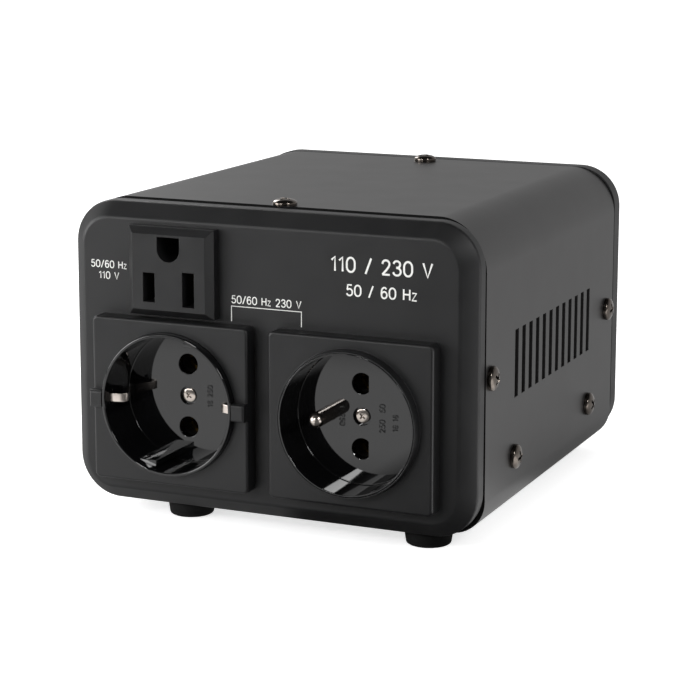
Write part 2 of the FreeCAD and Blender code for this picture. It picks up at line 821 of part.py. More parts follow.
def usOutletBody():
    head = box(-socketX - usWidth / 2, -socketX + usWidth / 2, usFace, frontPanel,
               usZ - usHeight / 2, usZ + usHeight / 2)
    head = head.makeChamfer(usBevel, edgesAtY(head, usFace))
    body = box(-socketX - usBodyWidth / 2, -socketX + usBodyWidth / 2, frontPanel, usBack,
               usZ - usBodyHeight / 2, usZ + usBodyHeight / 2)
    body = joined(head, body, *snapLugs(-socketX, usZ, usBodyWidth, frontPanel + panelWall, 1))
    for cut in (usBladeSlot(-1), usBladeSlot(1), usEarthHole(), *usContacts()):
        body = body.cut(cut)
    return body


# Transformer

coreLimb = coreWidth / 6
windingDepth = coreWidth / 2 - 2 * coreLimb - formerFit - formerWall - wrapSheet - windingGap
coreBase = trayTop
coreY0 = middleY - coreStack / 2
coreY1 = middleY + coreStack / 2
coreTop = coreBase + coreHeight
windowLow = coreBase + coreLimb
windowTop = coreTop - coreLimb


def coreBoltPlaces():
    return [(side * (coreWidth / 2 - coreBoltInset), z) for side in (-1, 1)
            for z in (coreBase + coreBoltInset, coreTop - coreBoltInset)]


def anglePlaces():
    """Where the two foot angles are bolted to the tray."""
    reach = coreStack / 2 + angleFoot * 0.6
    return [(side * angleBoltSpread / 2, middleY + end * reach) for side in (-1, 1) for end in (-1, 1)]


def coreParts():
    """E-shaped stack with three limbs up, and the I-shaped stack that closes it."""
    half = coreWidth / 2
    block = box(-half, half, coreY0, coreY1, coreBase, windowTop)
    for side in (-1, 1):
        inner = side * coreLimb
        outer = side * (half - coreLimb)
        block = block.cut(box(min(inner, outer), max(inner, outer), coreY0, coreY1, windowLow, windowTop))
    yoke = box(-half, half, coreY0, coreY1, windowTop, coreTop)
    for x, z in coreBoltPlaces():
        hole = rodY(x, z, coreY0, coreY1, coreBoltRadius)
        block = block.cut(hole)
        yoke = yoke.cut(hole)
    return block, yoke


def ringZ(halfX, halfY, wall, z0, z1, corner):
    """Rectangular ring round the middle limb, along Z, with rounded outer corners."""
    def prism(hx, hy, radius):
        solid = box(-hx, hx, middleY - hy, middleY + hy, z0, z1)
        if radius <= 0:
            return solid
        upright = [e for e in solid.Edges if abs(e.Vertexes[0].Z - e.Vertexes[1].Z) > 1]
        return solid.makeFillet(radius, upright)
    return prism(halfX + wall, halfY + wall, corner).cut(prism(halfX, halfY, corner - wall))


formerX = coreLimb + formerFit
formerY = coreStack / 2 + formerFit


def bobbin():
    """Tube round the middle limb with a flange at each end of the windows."""
    z0 = windowLow + formerFit
    z1 = windowTop - formerFit
    tube = ringZ(formerX, formerY, formerWall, z0, z1, 0)
    reach = windingDepth + formerWall + wrapSheet + windingGap * 0.4
    low = ringZ(formerX, formerY, reach, z0, z0 + formerWall, 0)
    high = ringZ(formerX, formerY, reach, z1 - formerWall, z1, 0)
    return joined(tube, low, high)


def windingRing(inset, thickness, corner):
    z0 = windowLow + formerFit + formerWall
    z1 = windowTop - formerFit - formerWall
    return ringZ(formerX + inset, formerY + inset, thickness, z0, z1, corner)


def footAngle(end):
    """Angle whose upright is bolted through the core and whose foot is bolted to the tray."""
    y = middleY + end * coreStack / 2
    half = coreWidth / 2
    upright = box(-half, half, min(y, y + end * angleSheet), max(y, y + end * angleSheet),
                  coreBase, coreBase + angleRise)
    sole = box(-half, half, min(y, y + end * angleFoot), max(y, y + end * angleFoot),
               coreBase, coreBase + angleSheet)
    angle = joined(upright, sole)
    for x, z in coreBoltPlaces():
        if z < coreBase + angleRise:
            angle = angle.cut(rodY(x, z, y - angleSheet, y + angleSheet, coreBoltRadius))
    for x, yy in anglePlaces():
        angle = angle.cut(Part.makeCylinder(coreBoltRadius, angleSheet, Vector(x, yy, coreBase)))
    return angle


def coreBoltStack(z):
    """Extra thickness that the angles add at the two lower bolts."""
    return angleSheet if z < coreBase + angleRise else 0.0


def coreBolts():
    bolts = []
    nuts = []
    for x, z in coreBoltPlaces():
        extra = coreBoltStack(z)
        seat = coreY0 - extra
        grip = coreStack + extra * 2
        bolt = panScrew(coreBoltRadius, grip + nutHeight + boltSpare, boltHeadRadius, boltHeadHeight)
        bolts.append(aimed(bolt, (x, seat, z), (0, -1, 0)))
        nuts.append(aimed(hexNut(coreBoltRadius, nutRadius, nutHeight), (x, coreY1 + extra, z), (0, 1, 0)))
    return bolts, nuts


def trayBolts():
    low = caseBottom + coverSheet
    bolts = []
    nuts = []
    for x, y in anglePlaces():
        length = traySheet + angleSheet + nutHeight + boltSpare
        bolt = panScrew(coreBoltRadius, length, boltHeadRadius, boltHeadHeight)
        bolts.append(aimed(bolt, (x, y, low), (0, 0, -1)))
        nuts.append(aimed(hexNut(coreBoltRadius, nutRadius, nutHeight),
                          (x, y, coreBase + angleSheet), (0, 0, 1)))
    return bolts, nuts


def windingTags():
    """Three soldering tags on the top flange of the former."""
    z = windowTop - formerFit
    y = middleY - coreStack / 2 - formerFit - formerWall - windingDepth / 2
    return [box(x - tagWidth / 2, x + tagWidth / 2, y - tagSheet / 2, y + tagSheet / 2, z, z + tagLength)
            for x in (-tagSpread, 0, tagSpread)]


def thermalCutout():
    """Small metal-cased cut-out that lies on the front of the winding."""
    front = middleY - formerY - formerWall - windingDepth - wrapSheet
    z = (windowLow + windowTop) / 2
    case = box(-cutoutWidth / 2, cutoutWidth / 2, front - cutoutDepth, front,
               z - cutoutHeight / 2, z + cutoutHeight / 2)
    return case.makeFillet(cutoutRounding, edgesAtY(case, front - cutoutDepth))


# Rear fittings

fittingZ = caseBottom + rearFittingHeight
rockerSlope = math.radians(rockerTilt)
rockerHalf = rockerWidth / 2
rockerValley = rockerCrown * math.cos(rockerSlope)
rockerPivotY = rearPanel + switchFlange + rockerProud - rockerValley
rockerEdge = rockerCrown + rockerHalf * math.tan(rockerSlope)
wellHalf = rockerHalf * math.cos(rockerSlope) + rockerEdge * math.sin(rockerSlope) + rockerFit


def switchHousing():
    """Flanged box with an open well for the rocker and a pivot hole in each side wall."""
    flange = box(switchX - switchWidth / 2, switchX + switchWidth / 2, rearPanel, rearPanel + switchFlange,
                 fittingZ - switchHeight / 2, fittingZ + switchHeight / 2)
    flange = flange.makeFillet(switchRounding, edgesAtY(flange, rearPanel + switchFlange))
    body = box(switchX - switchBodyWidth / 2, switchX + switchBodyWidth / 2, rearPanel - switchBodyDepth,
               rearPanel, fittingZ - switchBodyHeight / 2, fittingZ + switchBodyHeight / 2)
    lugs = snapLugs(switchX, fittingZ, switchBodyWidth, rearPanel - panelWall, -1)
    housing = joined(flange, body, *lugs)
    well = box(switchX - wellHalf, switchX + wellHalf, rearPanel - switchWellDepth,
               rearPanel + switchFlange,
               fittingZ - rockerHeight / 2 - rockerFit, fittingZ + rockerHeight / 2 + rockerFit)
    reach = rockerHeight / 2 + rockerPinReach
    pivot = Part.makeCylinder(rockerPinRadius + rockerPinFit, 2 * reach,
                              Vector(switchX, rockerPivotY, fittingZ - reach))
    return housing.cut(well).cut(pivot)


def switchRocker():
    """Button with a shallow V face on a pivot pin, stored with its +X half out."""
    outline = [(-rockerHalf, rockerEdge), (0, rockerCrown), (rockerHalf, rockerEdge),
               (rockerHalf * 0.9, -rockerCrown), (0, -rockerCrown * 2), (-rockerHalf * 0.9, -rockerCrown)]
    points = [Vector(x, y, -rockerHeight / 2) for x, y in outline]
    button = Part.Face(Part.makePolygon(points + points[:1])).extrude(Vector(0, 0, rockerHeight))
    reach = rockerHeight / 2 + rockerPinReach - rockerPinFit
    pin = Part.makeCylinder(rockerPinRadius, 2 * reach, Vector(0, 0, -reach))
    rocker = joined(button, pin)
    rocker.rotate(Vector(0, 0, 0), Vector(0, 0, 1), rockerTilt)
    rocker.translate(Vector(switchX, rockerPivotY, fittingZ))
    return rocker


def blade(x, z, y0, y1, width, height):
    return box(x - width / 2, x + width / 2, y0, y1, z - height / 2, z + height / 2)


def switchTags():
    back = rearPanel - switchBodyDepth
    return [blade(switchX + dx, fittingZ, back - tagLength, back, tagSheet, tagWidth)
            for dx in (-switchTagReach, switchTagReach)]


def selectorHousing():
    """Cover plate with a window, on a box whose channel is taller than the window."""
    plate = box(selectorX - selectorWidth / 2, selectorX + selectorWidth / 2, rearPanel,
                rearPanel + selectorPlate, fittingZ - selectorHeight / 2, fittingZ + selectorHeight / 2)
    plate = plate.makeFillet(selectorRounding, edgesAtY(plate, rearPanel + selectorPlate))
    half = selectorWindow / 2 + selectorBodySide
    rise = selectorChannelHeight / 2
    body = box(selectorX - half, selectorX + half, rearPanel - selectorBodyDepth, rearPanel,
               fittingZ - rise - selectorBodyWall, fittingZ + rise + selectorBodyWall)
    lugs = snapLugs(selectorX, fittingZ, 2 * half, rearPanel - panelWall, -1)
    left = selectorX - selectorWindow / 2
    right = selectorX + selectorWindow / 2
    channel = box(left, right, rearPanel - selectorChannel, rearPanel, fittingZ - rise, fittingZ + rise)
    window = box(left, right, rearPanel, rearPanel + selectorPlate, fittingZ - selectorWindowHeight / 2,
                 fittingZ + selectorWindowHeight / 2)
    return joined(plate, body, *lugs).cut(channel).cut(window)


def selectorSlider():
    """Ribbed knob at the low end of its window, on a base that the cover plate holds in."""
    left = selectorX - selectorWindow / 2 + selectorFit
    right = selectorX + selectorWindow / 2 - selectorFit - selectorTravel
    low = fittingZ - selectorWindowHeight / 2 + selectorFit
    high = fittingZ + selectorWindowHeight / 2 - selectorFit
    top = rearPanel + selectorPlate + selectorKnobProud
    rise = selectorChannelHeight / 2 - contactFit
    floor = rearPanel - selectorChannel + contactFit
    base = box(left, right, floor, floor + selectorBaseDepth, fittingZ - rise, fittingZ + rise)
    slider = joined(base, box(left, right, floor, top, low, high))
    middle = (left + right) / 2
    for step in (-1, 0, 1):
        x = middle + step * selectorRibPitch
        slider = slider.cut(box(x - selectorRib / 2, x + selectorRib / 2, top - selectorRib, top, low, high))
    return slider


def selectorTags():
    back = rearPanel - selectorBodyDepth
    return [blade(selectorX + dx, fittingZ, back - tagLength, back, tagSheet, tagWidth)
            for dx in (-selectorTagPitch, 0, selectorTagPitch)]


fuseMouth = rearPanel + fuseFlange
fuseEnd = fuseMouth - fuseStemLength + fuseGrip - slideFit
fuseStart = fuseEnd - fuseLinkLength
fuseBack = fuseStart - slideFit - fuseBarrelEnd
sideTagY = rearPanel - fuseSideTag


def fuseHolder():
    """Flanged barrel with a bore that opens to the rear."""
    flange = rodY(fuseX, fittingZ, rearPanel, fuseMouth, fuseFlangeRadius)
    barrel = rodY(fuseX, fittingZ, fuseBack, rearPanel, fuseBarrelRadius)
    bore = rodY(fuseX, fittingZ, fuseBack + fuseBarrelEnd, fuseMouth, fuseBoreRadius)
    return joined(flange, barrel).cut(bore)


def fuseNut():
    nut = hexNut(fuseBarrelRadius, fuseFlangeRadius + fuseNutSpread, nutHeight)
    return aimed(nut, (fuseX, rearPanel - panelWall, fittingZ), (0, -1, 0))


def fuseCap():
    """Fluted cap with a stem that grips the end of the fuse."""
    top = fuseMouth + fuseCapProud
    cap = rodY(fuseX, fittingZ, fuseMouth + slideFit, top, fuseCapRadius)
    cap = cap.makeFillet(capRounding, edgesAtY(cap, top))
    reach = fuseCapRadius + fluteOut
    for i in range(fluteCount):
        angle = 2 * math.pi * i / fluteCount
        cap = cap.cut(rodY(fuseX + reach * math.cos(angle), fittingZ + reach * math.sin(angle),
                           fuseMouth, top, fluteRadius))
    stem = rodY(fuseX, fittingZ, fuseMouth - fuseStemLength, fuseMouth + slideFit, fuseStemRadius)
    slot = box(fuseX - fuseCapRadius, fuseX + fuseCapRadius, top - capSlotDepth, top,
               fittingZ - capSlotWidth / 2, fittingZ + capSlotWidth / 2)
    stemEnd = fuseMouth - fuseStemLength
    socket = rodY(fuseX, fittingZ, stemEnd, stemEnd + fuseGrip, fuseLinkRadius + contactFit)
    return joined(cap, stem).cut(slot).cut(socket)


def fuseLink():
    """Glass tube and its two end caps, held by the cap's stem."""
    glass = rodY(fuseX, fittingZ, fuseStart, fuseEnd, fuseLinkRadius * 0.88)
    caps = [rodY(fuseX, fittingZ, fuseStart, fuseStart + fuseEndCap, fuseLinkRadius),
            rodY(fuseX, fittingZ, fuseEnd - fuseEndCap, fuseEnd, fuseLinkRadius)]
    return joined(glass, *caps)


def fuseTags():
    """One tag on the end of the barrel and one on top of it."""
    end = blade(fuseX, fittingZ, fuseBack - tagLength, fuseBack, tagWidth, tagSheet)
    low = fittingZ + fuseBarrelRadius * 0.95
    top = box(fuseX - tagWidth / 2, fuseX + tagWidth / 2, sideTagY - tagSheet / 2, sideTagY + tagSheet / 2,
              low, low + tagLength)
    return [end, top.cut(rodY(fuseX, fittingZ, fuseBack, rearPanel, fuseBarrelRadius))]


inletZ = caseBottom + inletHeight


def inletMouth(y0, y1):
    """Six-sided opening of a three-pin appliance inlet, flat side down."""
    half = inletMouthWidth / 2
    low = inletZ - inletMouthHeight / 2
    high = inletZ + inletMouthHeight / 2
    corners = [(-half, low), (half, low), (half, high - inletMouthCut),
               (half - inletMouthCut, high), (-half + inletMouthCut, high), (-half, high - inletMouthCut)]
    outline = [Vector(inletX + x, y0, z) for x, z in corners]
    return Part.Face(Part.makePolygon(outline + outline[:1])).extrude(Vector(0, y1 - y0, 0))


def inletBody():
    """Flange with two ears over a box with the plug's recess."""
    face = rearPanel + inletFlange
    flange = roundedSlab(inletX - inletWidth / 2, inletX + inletWidth / 2, inletZ - inletFlangeHeight / 2,
                         inletZ + inletFlangeHeight / 2, inletCorner, inletCorner, rearPanel, face)
    body = box(inletX - inletBodyWidth / 2, inletX + inletBodyWidth / 2, face - inletBodyDepth, rearPanel,
               inletZ - inletBodyHeight / 2, inletZ + inletBodyHeight / 2)
    whole = joined(flange, body).cut(inletMouth(face - inletMouthDepth, face))
    for side in (-1, 1):
        whole = whole.cut(rodY(inletX + side * inletScrewSpacing / 2, inletZ, rearPanel, face,
                               inletScrewRadius))
    for x, z in inletBladePlaces():
        whole = whole.cut(blade(x, z, face - inletBodyDepth, face - inletMouthDepth,
                                inletBladeWidth, inletBladeHeight))
    return whole


def inletBladePlaces():
    half = inletBladeSpacing / 2
    low = inletZ - inletBladeRise
    return [(inletX - half, low), (inletX, inletZ + inletBladeRise), (inletX + half, low)]


def inletBlades():
    face = rearPanel + inletFlange
    floor = face - inletMouthDepth
    back = face - inletBodyDepth
    return [blade(x, z, back - tagLength, floor + inletBladeLength, inletBladeWidth, inletBladeHeight)
            for x, z in inletBladePlaces()]


def inletFasteners():
    face = rearPanel + inletFlange
    length = inletFlange + panelWall + inletNutHeight + boltSpare
    screw = panScrew(inletScrewRadius, length, inletHeadRadius, inletHeadHeight)
    screws = []
    nuts = []
    for side in (-1, 1):
        x = inletX + side * inletScrewSpacing / 2
        screws.append(aimed(screw, (x, face, inletZ), (0, 1, 0)))
        nut = hexNut(inletScrewRadius, inletNutRadius, inletNutHeight)
        nuts.append(aimed(nut, (x, rearPanel - panelWall, inletZ), (0, -1, 0)))
    return screws, nuts


# Insulated leads between the tags

def lead(points):
    """Round lead with mitred bends through a row of points."""
    path = Part.Wire(Part.makePolygon([Vector(*point) for point in points]))
    start = Vector(*points[0])
    ring = Part.Wire(Part.makeCircle(leadRadius, start, Vector(*points[1]) - start))
    sweep = Part.BRepOffsetAPI.MakePipeShell(path)
    sweep.setTransitionMode(1)
    sweep.add(ring)
    sweep.build()
    sweep.makeSolid()
    return sweep.shape()


germanCarrierBack = plateFace + germanCupDepth + floorWall + carrierDepth
frenchPinEnd = plateFace + frenchCupDepth + floorWall + carrierDepth + earthPinTail
leadFront = germanCarrierBack + leadGap / 2 + leadRadius
leadBehind = leadFront + leadGap + 2 * leadRadius
leadTop = coreTop + leadRadius + leadOver
tagUp = windowTop - formerFit + tagLength
tagY = middleY - coreStack / 2 - formerFit - formerWall - windingDepth / 2
tagFace = tagY - tagSheet / 2
lowZ = socketZ - pinSpacing / 2
highZ = socketZ + pinSpacing / 2
nearTag = tagWidth / 2
bladeEnd = rearPanel + inletFlange - inletBodyDepth - tagLength
bladeZ = inletZ - inletBladeRise


def mainsLeads():
    """Inlet to switch, switch to fuse, and fuse to selector."""
    live = inletX - inletBladeSpacing / 2
    switchEnd = rearPanel - switchBodyDepth - tagLength
    rise = fittingZ + leadRise
    front = bladeEnd - leadStep - leadRadius
    behind = front + leadStep
    turn = selectorX + leadTurn
    tagZ = fittingZ + fuseBarrelRadius + tagLength / 2
    toSwitch = [(live, bladeEnd, bladeZ), (live, front, bladeZ), (switchX + switchTagReach, front, bladeZ),
                (switchX + switchTagReach, front, fittingZ), (switchX + switchTagReach, switchEnd, fittingZ)]
    far = switchX - switchTagReach
    toFuse = [(far, switchEnd, fittingZ), (far, behind, fittingZ), (far, behind, rise),
              (fuseX, behind, rise), (fuseX, behind, fittingZ + tagSheet / 2)]
    toSelector = [(fuseX - nearTag, sideTagY, tagZ), (turn, sideTagY, tagZ), (turn, sideTagY, fittingZ),
                  (selectorX + selectorTagPitch + tagSheet / 2, sideTagY, fittingZ)]
    return [lead(toSwitch), lead(toFuse), lead(toSelector)]


def primaryLeads():
    """Selector and inlet to the tags on the former, over the top of the core."""
    selectorEnd = rearPanel - selectorBodyDepth - tagLength
    neutral = inletX + inletBladeSpacing / 2
    riser = selectorEnd - 4 * leadRadius
    leads = []
    for dx, tagX in ((-selectorTagPitch, -tagSpread), (0, 0)):
        x = selectorX + dx
        leads.append(lead([(x, selectorEnd, fittingZ), (x, riser, fittingZ), (x, riser, leadTop),
                           (tagX, tagY, leadTop), (tagX, tagY, tagUp)]))
    behindCore = bladeEnd - leadStep - leadRadius - leadGap
    leads.append(lead([(neutral, bladeEnd, bladeZ), (neutral, behindCore, bladeZ),
                       (neutral, behindCore, leadTop), (neutral, tagY, leadTop),
                       (tagSpread, tagY, leadTop), (tagSpread, tagY, tagUp)]))
    return leads


def outputLeads():
    """Links between the sockets, and their feeds from the former and the cut-out."""
    z = usZ - usSlotLow
    left = -socketX - usSlotSpacing / 2 - usSlotWidth / 2 + usBladeSheet / 2
    right = left + usSlotSpacing
    usEnd = usBack + tagLength
    capY = middleY - formerY - formerWall - windingDepth - wrapSheet - cutoutDepth / 2
    capZ = (windowLow + windowTop) / 2
    feedZ = windowTop + leadFeed
    inner = nearTag - socketX
    outer = -nearTag - socketX
    return [lead([(inner, leadFront, lowZ), (socketX - nearTag, leadFront, lowZ)]),
            lead([(inner, leadFront, highZ), (socketX - nearTag, leadFront, highZ)]),
            lead([(left, usEnd, z), (left, leadFront, z), (left, leadFront, highZ), (outer, leadFront, highZ)]),
            lead([(right, usEnd, z), (right, leadBehind, z), (right, leadBehind, lowZ),
                  (inner, leadBehind, lowZ)]),
            lead([(0, capY, capZ + cutoutHeight / 2), (0, capY, feedZ), (0, tagFace, feedZ)]),
            lead([(0, capY, capZ - cutoutHeight / 2), (0, capY, lowZ), (0, leadFront + leadRadius, lowZ)]),
            lead([(-tagSpread, tagFace, feedZ), (-tagSpread, leadFront, feedZ),
                  (-tagSpread, leadFront, highZ + leadRadius)])]


def earthLeads():
    """Earth of the inlet and of each socket, down to the tray."""
    strapEnd = plateFace + germanCupDepth + floorWall + clipSheet
    pinX = socketX - earthPinOffset
    drop = -socketX - earthLeadX
    clipX = -socketX - cupRadius - cupWall
    inletDrop = bladeEnd - tagWidth
    bladeTop = inletZ + inletBladeRise
    usEarthZ = usZ - usSlotLow + usEarthRise + usEarthHeight / 2 - usBladeSheet / 2
    return [lead([(inletX, bladeEnd, bladeTop), (inletX, inletDrop, bladeTop), (inletX, inletDrop, trayTop)]),
            lead([(pinX, frenchPinEnd, socketZ), (pinX, leadBehind, socketZ), (pinX, leadBehind, trayTop)]),
            lead([(-socketX, usBack + tagLength, usEarthZ), (-socketX, leadBehind, usEarthZ),
                  (drop, leadBehind, usEarthZ), (drop, leadBehind, trayTop)]),
            lead([(clipX, strapEnd, socketZ), (clipX, leadBehind, socketZ),
                  (drop - leadRadius, leadBehind, socketZ)])]


# Export of every piece

export("front_bezel", frontBezel())
export("rear_bezel", rearBezel())
export("cover", cover())
export("chassis_tray", chassisTray())
export("cover_screws", *coverScrews())
for name, (footX, footY) in zip(("front_left", "front_right", "rear_left", "rear_right"), footPlaces()):
    export("foot_" + name, foot(footX, footY))
export("foot_screws", *footScrews())

export("german_socket_plate", germanPlate())
export("german_socket_cup", germanCup())
export("german_earth_clips", germanEarthClips())
export("german_contact_carrier", germanCarrier())
export("german_centre_screw", centreScrew(-socketX, germanCupDepth))
export("french_socket_plate", frenchPlate())
export("french_socket_cup", frenchCup())
export("french_earth_pin", frenchEarthPin())
export("french_contact_carrier", frenchCarrier())
export("french_centre_screw", centreScrew(socketX, frenchCupDepth))
for name, x, cupDepth in (("german", -socketX, germanCupDepth), ("french", socketX, frenchCupDepth)):
    for level, (cx, cz) in zip(("lower", "upper"), contactPlaces(x)):
        export(name + "_contact_" + level, socketContact(cx, cz, plateFace + cupDepth + floorWall))

export("us_outlet_body", usOutletBody())
for name, contact in zip(("live", "neutral", "earth"), usContacts()):
    export("us_contact_" + name, contact)

coreE, coreI = coreParts()
export("core_e_stack", coreE)
export("core_i_stack", coreI)
export("transformer_bobbin", bobbin())
export("transformer_winding", windingRing(formerWall, windingDepth, windingCorner))
export("winding_wrap", windingRing(formerWall + windingDepth, wrapSheet, windingCorner + wrapSheet))
export("winding_tags", *windingTags())
export("foot_angle_front", footAngle(-1))
export("foot_angle_rear", footAngle(1))
coreBoltSolids, coreNutSolids = coreBolts()
export("core_bolts", *coreBoltSolids)
export("core_nuts", *coreNutSolids)
trayBoltSolids, trayNutSolids = trayBolts()
export("tray_bolts", *trayBoltSolids)
export("tray_nuts", *trayNutSolids)
export("thermal_cutout", thermalCutout())

export("switch_housing", switchHousing())
export("switch_rocker", switchRocker())
export("switch_tags", *switchTags())
export("selector_housing", selectorHousing())
export("selector_slider", selectorSlider())
export("selector_tags", *selectorTags())
export("fuse_holder", fuseHolder())
export("fuse_nut", fuseNut())
export("fuse_cap", fuseCap())
export("fuse_link", fuseLink())
export("fuse_tags", *fuseTags())
export("inlet_body", inletBody())
export("inlet_blades", *inletBlades())
inletScrewSolids, inletNutSolids = inletFasteners()
export("inlet_screws", *inletScrewSolids)
export("inlet_nuts", *inletNutSolids)
for name, leads in (("mains", mainsLeads()), ("primary", primaryLeads()), ("output", outputLeads()),
                    ("earth", earthLeads())):
    export(name + "_leads", *leads)
print("rest box: width", caseWidth, "depth", frontProud + caseDepth + rearProud, "height", caseBottom + caseHeight)
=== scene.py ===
import bpy
import bmesh
import json
import math
from mathutils import Matrix, Vector


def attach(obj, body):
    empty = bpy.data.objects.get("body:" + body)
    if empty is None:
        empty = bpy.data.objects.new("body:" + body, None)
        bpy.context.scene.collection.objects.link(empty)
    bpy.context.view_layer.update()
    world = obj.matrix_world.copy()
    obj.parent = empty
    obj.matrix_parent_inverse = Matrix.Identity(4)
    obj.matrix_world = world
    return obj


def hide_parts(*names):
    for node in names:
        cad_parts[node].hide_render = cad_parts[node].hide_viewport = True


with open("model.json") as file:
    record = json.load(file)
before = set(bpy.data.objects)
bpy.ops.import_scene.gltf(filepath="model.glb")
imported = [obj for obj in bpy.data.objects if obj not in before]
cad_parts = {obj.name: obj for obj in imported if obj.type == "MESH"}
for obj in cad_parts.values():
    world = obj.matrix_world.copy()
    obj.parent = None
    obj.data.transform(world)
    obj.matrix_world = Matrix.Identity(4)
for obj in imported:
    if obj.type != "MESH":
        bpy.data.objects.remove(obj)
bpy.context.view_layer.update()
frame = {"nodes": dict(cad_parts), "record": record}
mm = 0.001

# Places that the pieces share, in mm in the part's own frame
place = {
    "frontPanel": -71.4, "plateFace": -76.6, "rearPanel": 69.6, "socketX": 28.35, "socketZ": 37.5,
    "earthX": 18.35, "caseBottom": 4.8, "caseTop": 94.8, "halfWidth": 63.5, "frontSeam": -63.2,
    "rearSeam": 59.4, "inletX": 26.0, "inletZ": 30.8,
}


# Camera

# place, film and lens in mm, turns in degrees; rise moves the picture up by a share of its width
cameraView = {"x": 266.2, "y": -625.3, "z": 188.3, "yaw": 23.415, "pitch": 10.42, "roll": -0.089,
              "lens": 113.297, "film": 36, "rise": -0.1}


def setCamera(settings):
    yaw = math.radians(settings["yaw"])
    pitch = math.radians(settings["pitch"])
    roll = math.radians(settings["roll"])
    ahead = Vector((-math.sin(yaw) * math.cos(pitch), math.cos(yaw) * math.cos(pitch), -math.sin(pitch)))
    right = Vector((math.cos(yaw), math.sin(yaw), 0))
    down = ahead.cross(right)
    side = math.cos(roll) * right + math.sin(roll) * down
    low = -math.sin(roll) * right + math.cos(roll) * down
    data = bpy.data.cameras.new("camera")
    data.lens = settings["lens"]
    data.shift_y = settings["rise"]
    data.sensor_width = settings["film"]
    camera = bpy.data.objects.new("camera", data)
    turn = Matrix((side, -low, -ahead)).transposed().to_4x4()
    spot = Vector((settings["x"], settings["y"], settings["z"])) * mm
    camera.matrix_world = Matrix.Translation(spot) @ turn
    bpy.context.collection.objects.link(camera)
    bpy.context.scene.camera = camera


setCamera(cameraView)
print("stage: camera")


# Materials

def tint(code):
    # sRGB hex to linear
    parts = [int(code[i:i + 2], 16) / 255 for i in (1, 3, 5)]
    return tuple(c / 12.92 if c < 0.04045 else ((c + 0.055) / 1.055) ** 2.4 for c in parts) + (1,)


def addNode(material, kind, settings=None, links=None):
    node = material.node_tree.nodes.new(kind)
    for key, value in (settings or {}).items():
        if isinstance(key, int) or key in node.inputs:
            node.inputs[key].default_value = value
        else:
            setattr(node, key, value)
    for key, socket in (links or {}).items():
        material.node_tree.links.new(socket, node.inputs[key])
    return node


def perMetre(size):
    # texture scale that repeats once in so many mm
    return 1000 / size


def surface(name, look):
    # mottled colour, uneven gloss and a fine relief, all from real sizes in mm
    material = bpy.data.materials.new(name)
    material.use_nodes = True
    material.node_tree.nodes.clear()
    where = addNode(material, "ShaderNodeTexCoord").outputs["Object"]
    mottle = addNode(material, "ShaderNodeTexNoise", {"Scale": perMetre(look["mottle"]), "Detail": 4.0},
                     {"Vector": where})
    colour = addNode(material, "ShaderNodeMix", {"data_type": "RGBA", 6: tint(look["dark"]),
                                                 7: tint(look["light"])}, {0: mottle.outputs[0]})
    low, high = look["rough"]
    # most of the noise lies between 0.3 and 0.7
    gloss = addNode(material, "ShaderNodeMapRange", {"From Min": 0.3, "From Max": 0.7, "To Min": low,
                                                     "To Max": high}, {"Value": mottle.outputs[0]})
    grain = addNode(material, "ShaderNodeTexNoise", {"Scale": perMetre(look["grain"]), "Detail": 2.0},
                    {"Vector": where})
    relief = addNode(material, "ShaderNodeBump", {"Strength": look["relief"],
                                                  "Distance": look["depth"] * mm},
                     {"Height": grain.outputs[0]})
    if look.get("edge"):
        softEdge = addNode(material, "ShaderNodeBevel", {"samples": 4, "Radius": look["edge"] * mm})
        material.node_tree.links.new(softEdge.outputs[0], relief.inputs["Normal"])
    shader = addNode(material, "ShaderNodeBsdfPrincipled",
                     {"Metallic": look.get("metallic", 0.0), "IOR": look.get("ior", 1.5)},
                     {"Base Color": colour.outputs[2], "Roughness": gloss.outputs[0],
                      "Normal": relief.outputs[0]})
    addNode(material, "ShaderNodeOutputMaterial", None, {"Surface": shader.outputs[0]})
    return material


